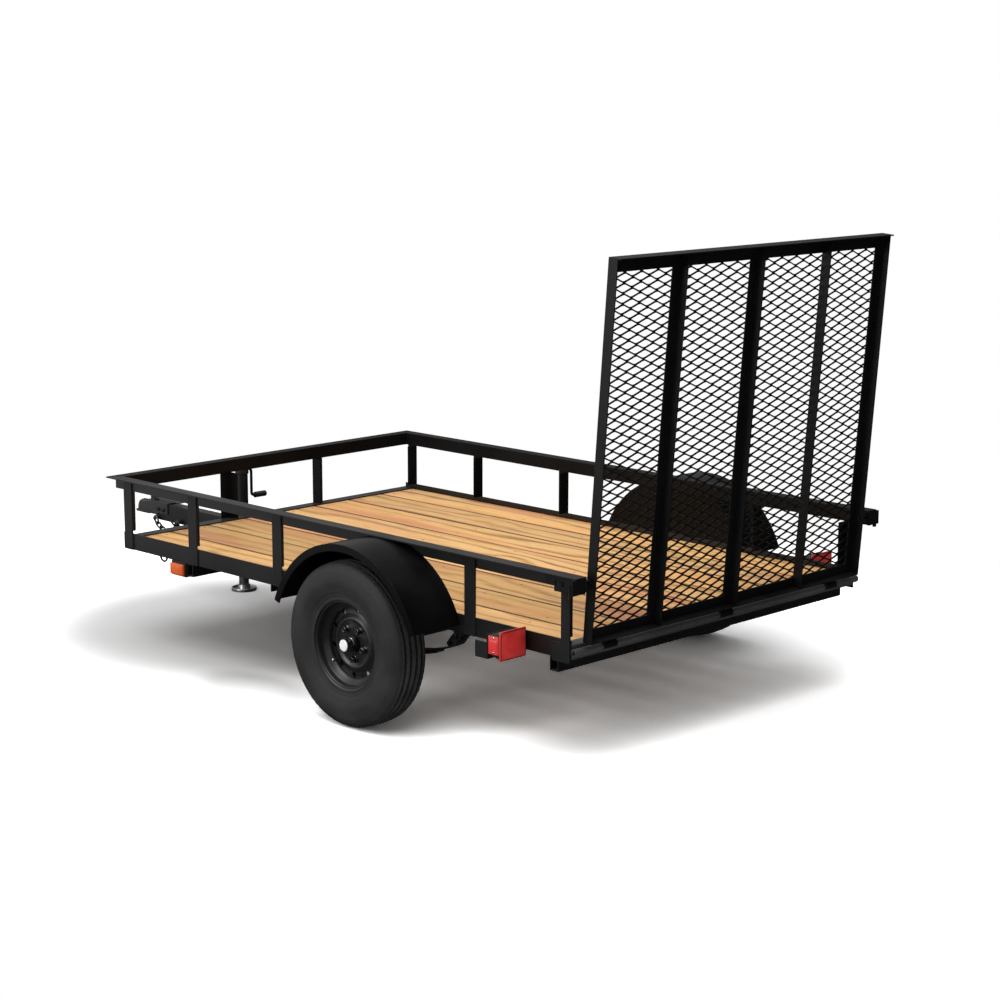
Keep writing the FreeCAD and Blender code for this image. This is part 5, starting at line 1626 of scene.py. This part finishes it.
@dataclass
class JackFittings:
    """Crank with its gear head, and the foot of the jack.

    Attributes:
        x: Where the jack stands along the trailer.
        y: Where it stands across.
        tube_top: Height of the outer tube's top.
        tube: Diameter of the outer tube.
        leg: Diameter of the inner leg.
        shaft_rise: Height of the crank's shaft above the tube.
        shaft_reach: How far the shaft stands out beyond the tube.
        arm: From the shaft down to the grip.
        grip: Length of the grip.
        crank_radius: Radius of the crank's bar.
    """

    x: float = 1.15305
    y: float = -0.096
    tube_top: float = 0.520
    tube: float = 0.051
    leg: float = 0.0429
    shaft_rise: float = 0.016
    shaft_reach: float = 0.026
    arm: float = 0.120
    grip: float = 0.080
    crank_radius: float = 0.006

    @property
    def shaft_end(self) -> float:
        """Y of the middle of the crank's arm."""
        return self.y - self.tube / 2 - self.shaft_reach

    def crank(self) -> Patch:
        """Cranked bar from the gear head: out, down the arm with two bends, and out along the grip."""
        shaft = self.tube_top + self.shaft_rise
        end, low, bend = self.shaft_end, shaft - self.arm, 0.014
        quarter = np.linspace(0, math.pi / 2, 7)
        upper = [(self.x, end + bend - bend * math.sin(t), shaft - bend + bend * math.cos(t)) for t in quarter]
        lower = [(self.x, end - bend + bend * math.cos(t), low + bend - bend * math.sin(t)) for t in quarter]
        path = np.array([(self.x, self.y, shaft), *upper, *lower, (self.x, end - self.grip, low)])
        return tube(path, self.crank_radius, 16, up=(1, 0, 0))

    def head(self) -> Patch:
        """Round gear head with a lid, a rolled rim and a grease fitting."""
        r, z = self.tube / 2 + 0.004, self.tube_top
        profile = [(0, z), (r - 0.001, z), (r, z + 0.001), (r, z + 0.031), (r - 0.0012, z + 0.0335),
                   (r - 0.004, z + 0.034), (0.0195, z + 0.0425), (0.0165, z + 0.047), (0.010, z + 0.048),
                   (0, z + 0.048)]
        return lathe(profile, Axis.Z, 48).moved((self.x, self.y, 0))

    def handle(self) -> Patch:
        """Ribbed grip: radius 12.0 mm plus 0.9 mm times the size of a cosine along it, drawn in at both ends."""
        length = self.grip - 0.014
        a = np.linspace(0, length, 67)
        r = 0.0120 + 0.0009 * np.abs(np.cos(math.pi * a / 0.009))
        r *= np.clip(np.minimum(a, length - a) / 0.004, 0.0, 1.0) ** 0.35
        turned = lathe(list(zip(r, a)), Axis.Y, 32)
        return turned.moved((self.x, self.shaft_end - self.grip, self.tube_top + self.shaft_rise - self.arm))

    def foot(self) -> Patch:
        """Pressed foot: plate with a rolled edge, and a flared socket round the leg."""
        bore = self.leg / 2
        profile = [(0, 0), (0.0530, 0), (0.0550, 0.0020), (0.0550, 0.0120), (0.0536, 0.0140), (0.0508, 0.0140),
                   (0.0496, 0.0125), (0.0490, 0.0078), (0.0474, 0.0060), (0.0296, 0.0060), (0.0282, 0.0076),
                   (0.0274, 0.0240), (0.0262, 0.0260), (bore, 0.0260), (bore, 0.0060), (0, 0.0060)]
        return lathe(profile, Axis.Z, 64).moved((self.x, self.y, 0))

    def build(self, palette: Palette) -> None:
        """Make the crank, the grip and the foot.

        Args:
            palette: The finishes.
        """
        make_piece("crank_and_head", joined([self.crank(), self.head()]), "jack", palette["jack_paint"],
                   ("jack_crank",))
        make_piece("crank_grip", self.handle(), "jack", palette["lamp_base"])
        make_piece("foot_plate", self.foot(), "jack_leg", palette["jack_zinc"], ("jack_foot",))


@dataclass
class Trim:
    """Small things on the frame: tie loops, rolled fender edges, bolts and welds.

    Attributes:
        post_fronts: Front edge of each side post.
        post_width: Width of a side post.
        post_y: Outer face of the posts.
        side_low: Lower edge of the side angles.
        side_high: Upper edge of the side angles.
        rail_under: Under side of the top rail's flat leg.
        tie: Middle of the left tie loop, as (x, y).
        tie_half: Radius of a tie loop.
        tie_radius: Radius of its bar.
        fender_centre: Middle of the fender's arc, as (x, z).
        fender_radius: Outer radius of the fender.
        fender_lip: Depth of its lip.
        fender_outer: Outer face of the lip.
        fender_arc: Start and end of the arc, in degrees.
        bead: Radius of the wire rolled into the lip.
        eyes: Middle of each bolt of the left spring, as (x, z).
        eye_y: Middle of the spring across.
        eye_reach: From there to the heads on either side.
        coupler_bolts: X of the coupler's bolts.
        coupler_face: Y and Z of their heads on the left.
        bracket: Middle of the jack's bracket plate on the tongue.
        bracket_half: Half of the distance between its bolts, along and up.
    """

    post_fronts: tuple = (0.81305, 0.39805, -0.10895, -1.12495)
    post_width: float = 0.051
    post_y: float = 0.772
    side_low: float = 0.372
    side_high: float = 0.437
    rail_under: float = 0.655
    tie: tuple = (0.58805, 0.750)
    tie_half: float = 0.021
    tie_radius: float = 0.004
    fender_centre: tuple = (-0.73795, 0.268)
    fender_radius: float = 0.386
    fender_lip: float = 0.026
    fender_outer: float = 0.984
    fender_arc: tuple = (20.0, 160.0)
    bead: float = 0.0032
    eyes: tuple = ((-0.40269, 0.32627), (-1.05121, 0.32627), (-1.07821, 0.357))
    eye_y: float = 0.738
    eye_reach: float = 0.0285
    coupler_bolts: tuple = (1.556, 1.594)
    coupler_face: tuple = (0.0305, 0.318)
    bracket: tuple = (1.15305, -0.0315, 0.307)
    bracket_half: tuple = (0.034, 0.026)

    @staticmethod
    def both(left: Patch) -> Patch:
        """A left-hand shape with its mirror image."""
        return joined([left.on_side(side) for side in Side])

    def tie_loops(self) -> Patch:
        """Half rings under the side angles: (x + half cos t, z + half sin t) for the lower half turn."""
        turn = np.linspace(math.pi, TAU, 25)
        x, y = self.tie
        path = np.stack([x + self.tie_half * np.cos(turn), np.full(25, y),
                         self.side_low + self.tie_half * np.sin(turn)], axis=1)
        return self.both(tube(path, self.tie_radius, 14, up=(0, 1, 0)))

    def fender_edges(self) -> Patch:
        """Rolled wire in the free edge of each fender's lip, along its arc."""
        turn = np.radians(np.linspace(self.fender_arc[0] + 0.3, self.fender_arc[1] - 0.3, 97))
        radius = self.fender_radius - self.fender_lip + self.bead
        x, z = self.fender_centre
        path = np.stack([x + radius * np.cos(turn), np.full(97, self.fender_outer - self.bead),
                         z + radius * np.sin(turn)], axis=1)
        return self.both(tube(path, self.bead, 12, up=(0, 1, 0)))

    def post_welds(self) -> Patch:
        """Beads down both edges of each post on the side angle, and along its top."""
        y, out = self.post_y - 0.0035, []
        for front in self.post_fronts:
            for x in (front, front - self.post_width):
                out.append(weld_bead((x, y, self.side_low + 0.004), (x, y, self.side_high - 0.003), 2.6 * MM))
            out.append(weld_bead((front - self.post_width + 0.003, y + 0.0015, self.rail_under - 0.0005),
                                 (front - 0.003, y + 0.0015, self.rail_under - 0.0005), 2.4 * MM))
        return self.both(joined(out))

    @staticmethod
    def small_head(way: int) -> Patch:
        """Small hex head that faces left for one and right for minus one."""
        return facing(hex_nut(0.015, 0.007, 0.009, 0.002, 24), (0, way, 0))

    def bolts(self) -> Patch:
        """Hex heads on both sides: spring eyes and shackles, and the coupler."""
        head = facing(hex_nut(0.019, 0.009, 0.011, 0.003, 24), (0, 1, 0))
        left = []
        for x, z in self.eyes:
            left.append(head.moved((x, self.eye_y + self.eye_reach, z)))
            left.append(head.turned((0, 0, 1), 180).moved((x, self.eye_y - self.eye_reach, z)))
        left += [self.small_head(1).moved((x, *self.coupler_face)) for x in self.coupler_bolts]
        return self.both(joined(left))

    def bracket_bolts(self) -> Patch:
        """Four bolts of the jack's bracket plate."""
        (x, y, z), (along, up) = self.bracket, self.bracket_half
        places = [(x + a, y, z + b) for a in (-along, along) for b in (-up, up)]
        return copies(self.small_head(-1), np.array(places))

    def build(self, palette: Palette) -> None:
        """Make the pieces.

        Args:
            palette: The finishes.
        """
        shapes = [("tie_rings", self.tie_loops(), "frame_paint", ("tie_loops",)),
                  ("fender_edges", self.fender_edges(), "fender_paint", ()),
                  ("post_welds", self.post_welds(), "frame_paint", ()),
                  ("bolt_heads", self.bolts(), "zinc_steel", ()),
                  ("bracket_bolts", self.bracket_bolts(), "zinc_steel", ())]
        for name, patch, slot, replaced in shapes:
            make_piece(name, patch, "frame", palette[slot], replaced)


@dataclass
class Studio:
    """Pale floor, white surroundings, soft lamps, and the camera at the photograph's angle.

    Attributes:
        eye: Where the camera stands.
        azimuth: Turn of the camera about Z, in degrees.
        pitch: How far it looks down, in degrees.
        roll: Turn about its own axis, in degrees.
        focal: Focal length in widths of the picture.
        sensor: Width of the picture on the sensor, in millimetres.
        floor_size: Width of the floor.
        fade_centre: Middle of the ellipse beyond which the floor is plain white.
        fade_half: Half axes of that ellipse.
        seen_white: Brightness of the floor's colour where the camera sees it.
        unseen_white: Its brightness as it lights the trailer.
        soft_edge: Where a painted shadow starts and ends to fade, as shares of its half axes.
        shades: Soft shadows painted into the floor's colour, each as its middle, its half axes and its darkness, below
            zero where it paints the floor lighter: under the front of the bed, beyond the right wheel, before the left
            wheel, and behind it.
        ambient: Strength of the surroundings as they light the trailer.
        mirrored_black: Brightness of the dark side of what the paint mirrors.
        mirrored_from: Where the mirrored floor turns from dark to white, as the sum of X and Y.
        lamps: Each lamp as its name, its place, what it points at, its width and its power in watts.
    """

    eye: tuple = (-6.4216, 5.92584, 2.27336)
    azimuth: float = 224.85
    pitch: float = 11.01
    roll: float = 0.09
    focal: float = 2.24575
    sensor: float = 36.0
    floor_size: float = 60.0
    fade_centre: tuple = (-0.35, -0.1)
    fade_half: tuple = (4.0, 2.86)
    seen_white: float = 1.74
    unseen_white: float = 0.8
    soft_edge: tuple = (0.6, 1.3)
    # Shadows painted into the floor's colour, and one lighter patch painted the same way.
    shades: tuple = (((0.62, 0.30), (1.00, 0.96), 0.70), ((-0.95, -1.12), (0.62, 0.42), 0.30),
                     ((-0.10, 0.86), (0.28, 0.15), 0.34), ((-1.06, 0.42), (0.26, 0.42), -0.36))
    ambient: float = 0.46
    mirrored_black: float = 0.02
    mirrored_from: tuple = (2.2, 6.0)
    lamps: tuple = (("overhead", (-0.65, 1.15, 5.2), (-0.3, 0.1, 0.4), 5.8, 405.0),
                    ("left", (1.5, 6.0, 3.0), (0.0, 0.0, 0.5), 3.0, 120.0))

    def camera(self) -> None:
        """Place the camera: its axes are right, up and back from the azimuth and the pitch."""
        a, e = math.radians(self.azimuth), math.radians(self.pitch)
        back = Vector((math.sin(a) * math.cos(e), -math.cos(a) * math.cos(e), math.sin(e)))
        right = Vector((math.cos(a), math.sin(a), 0))
        turn = Matrix((right, back.cross(right), back)).transposed()
        turn = turn @ Matrix.Rotation(math.radians(self.roll), 3, "Z")
        data = bpy.data.cameras.new("camera")
        data.sensor_width = self.sensor
        data.lens = self.focal * self.sensor
        data.clip_end = 200
        camera = bpy.data.objects.new("camera", data)
        camera.matrix_world = Matrix.Translation(self.eye) @ turn.to_4x4()
        bpy.context.scene.collection.objects.link(camera)
        bpy.context.scene.camera = camera

    @staticmethod
    def rays(tree: Tree) -> tuple:
        """Whether a ray comes from the camera, straight or through glass, and whether from a mirroring surface."""
        ray = tree.put("LightPath").outputs
        return tree.math("MAXIMUM", ray["Is Camera Ray"], ray["Is Transmission Ray"]), ray["Is Glossy Ray"]

    def floor(self) -> None:
        """Lay the floor, with shadows painted into its colour near the trailer, which fades to white away from it."""
        far = self.floor_size / 2
        mesh = bpy.data.meshes.new("floor")
        mesh.from_pydata([(-far, -far, 0), (far, -far, 0), (far, far, 0), (-far, far, 0)], [], [(0, 1, 2, 3)])
        floor = bpy.data.objects.new("floor", mesh)
        bpy.context.scene.collection.objects.link(floor)
        material = bpy.data.materials.new("floor")
        material.use_nodes = True
        tree = Tree(material.node_tree)
        shader = material.node_tree.nodes["Principled BSDF"]
        seen, glossy = self.rays(tree)
        axes = tree.put("SeparateXYZ", {0: tree.place()}).outputs

        def reach(centre: tuple, half: tuple) -> bpy.types.NodeSocket:
            """Distance from a point on the floor, as a share of an ellipse's half axes."""
            parts = [tree.math("POWER", tree.math("DIVIDE", tree.math("SUBTRACT", axes[name], middle), size), 2.0)
                     for name, middle, size in zip("XY", centre, half)]
            return tree.math("SQRT", tree.math("ADD", *parts))

        tone = tree.ramp(seen, 0.0, 1.0, self.unseen_white, self.seen_white)
        # Painted shadows: each ellipse darkens the floor's colour where the camera sees it, or lightens it where its
        # darkness is below zero.
        for centre, half, depth in self.shades:
            near = tree.ramp(reach(centre, half), *self.soft_edge, 1.0, 0.0)
            darker = tree.math("MULTIPLY", tree.math("MULTIPLY", near, depth), seen)
            tone = tree.math("MULTIPLY", tone, tree.math("SUBTRACT", 1.0, darker))
        tree.feed(shader, {"Base Color": tree.grey(tone), "Roughness": 0.9, "Specular IOR Level": 0.1})
        share = tree.math("MULTIPLY", tree.ramp(reach(self.fade_centre, self.fade_half), 0.5, 1.0), seen)
        white = tree.put("Emission", {"Color": WHITE, "Strength": 1.0})
        mixed = tree.put("MixShader", {0: share, 1: shader.outputs[0], 2: white.outputs[0]})
        level = tree.ramp(tree.math("ADD", axes["X"], axes["Y"]), *self.mirrored_from, self.mirrored_black, 1.0)
        mirrored = tree.put("Emission", {"Color": WHITE, "Strength": level})
        mixed = tree.put("MixShader", {0: glossy, 1: mixed.outputs[0], 2: mirrored.outputs[0]})
        tree.feed(material.node_tree.nodes["Material Output"], {"Surface": mixed.outputs[0]})
        mesh.materials.append(material)

    def surroundings(self) -> None:
        """Light the world: white where it is seen or mirrored, softer where it lights the trailer."""
        world = bpy.data.worlds.new("studio")
        bpy.context.scene.world = world
        world.use_nodes = True
        tree = Tree(world.node_tree)
        world.node_tree.nodes.clear()
        seen, glossy = self.rays(tree)
        way = tree.put("SeparateXYZ", {0: tree.put("TexCoord").outputs["Generated"]}).outputs
        lean = tree.total((way["Y"], 0.5), (way["Z"], 0.3), (way["X"], 0.5))
        level = tree.ramp(lean, -0.42, 1.05, self.mirrored_black, 1.0)
        soft, mirrored, white = (tree.put("Background", {"Color": WHITE, "Strength": strength}).outputs[0]
                                 for strength in (self.ambient, level, 1.0))
        mixed = tree.put("MixShader", {0: glossy, 1: soft, 2: mirrored}).outputs[0]
        mixed = tree.put("MixShader", {0: seen, 1: mixed, 2: white}).outputs[0]
        tree.put("OutputWorld", {"Surface": mixed})

    @staticmethod
    def lamp(name: str, place: tuple, target: tuple, size: float, power: float) -> None:
        """Hang one soft square lamp.

        Args:
            name: Name of the lamp.
            place: Where it hangs.
            target: What it points at.
            size: Its width.
            power: Its power in watts.
        """
        data = bpy.data.lights.new(name, "AREA")
        data.shape = "SQUARE"
        data.size = size
        data.energy = power
        lamp = bpy.data.objects.new(name, data)
        aim = Vector(target) - Vector(place)
        lamp.matrix_world = Matrix.Translation(place) @ aim.to_track_quat("-Z", "Y").to_matrix().to_4x4()
        bpy.context.scene.collection.objects.link(lamp)

    def build(self) -> None:
        """Set up the camera, the floor and the light."""
        self.camera()
        self.floor()
        self.surroundings()
        for lamp in self.lamps:
            self.lamp(*lamp)
        bpy.context.scene.view_settings.view_transform = "Standard"


def main() -> None:
    """Build the studio, dress the frame, and add each group of pieces in turn."""
    logging.basicConfig(level=logging.INFO, format="%(message)s")
    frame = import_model()
    Studio().build()
    low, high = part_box("deck_boards")
    deck = Deck(low, high)
    palette = Palette(low.y - deck.gap / 2, deck.width + deck.gap, low.z)
    palette.dress(frame)
    joints = {joint["name"]: joint for joint in frame["joints"]}

    for side in Side:
        Wheel(side, tuple(joints[f"wheel_{side.word}_spin"]["pos_m"])).build(palette)

    angles_low, angles_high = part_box("floor_angles")
    inner = np.linspace(angles_low.x + ANGLE_INSET, angles_high.x - ANGLE_INSET, 4)
    deck.build(palette, [low.x + END_INSET, *inner, high.x - END_INSET])

    RampGate(Vector(joints["gate_hinge"]["pos_m"])).build(palette)

    lamp_low, lamp_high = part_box("tail_lamps")
    pieces = []
    for side in Side:
        pieces += TailLamp(side, Vector((lamp_low.x, LAMP_INNER_Y, lamp_low.z)), lamp_high).build(palette)
    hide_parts("tail_lamps")

    marker_low, marker_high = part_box("side_markers")
    SideMarker(Vector((marker_low.x, MARKER_INNER_Y, marker_low.z)), marker_high).build(palette)
    SafetyChain().build(palette)
    JackFittings().build(palette)
    Trim().build(palette)


if __name__ == "__main__":
    main()
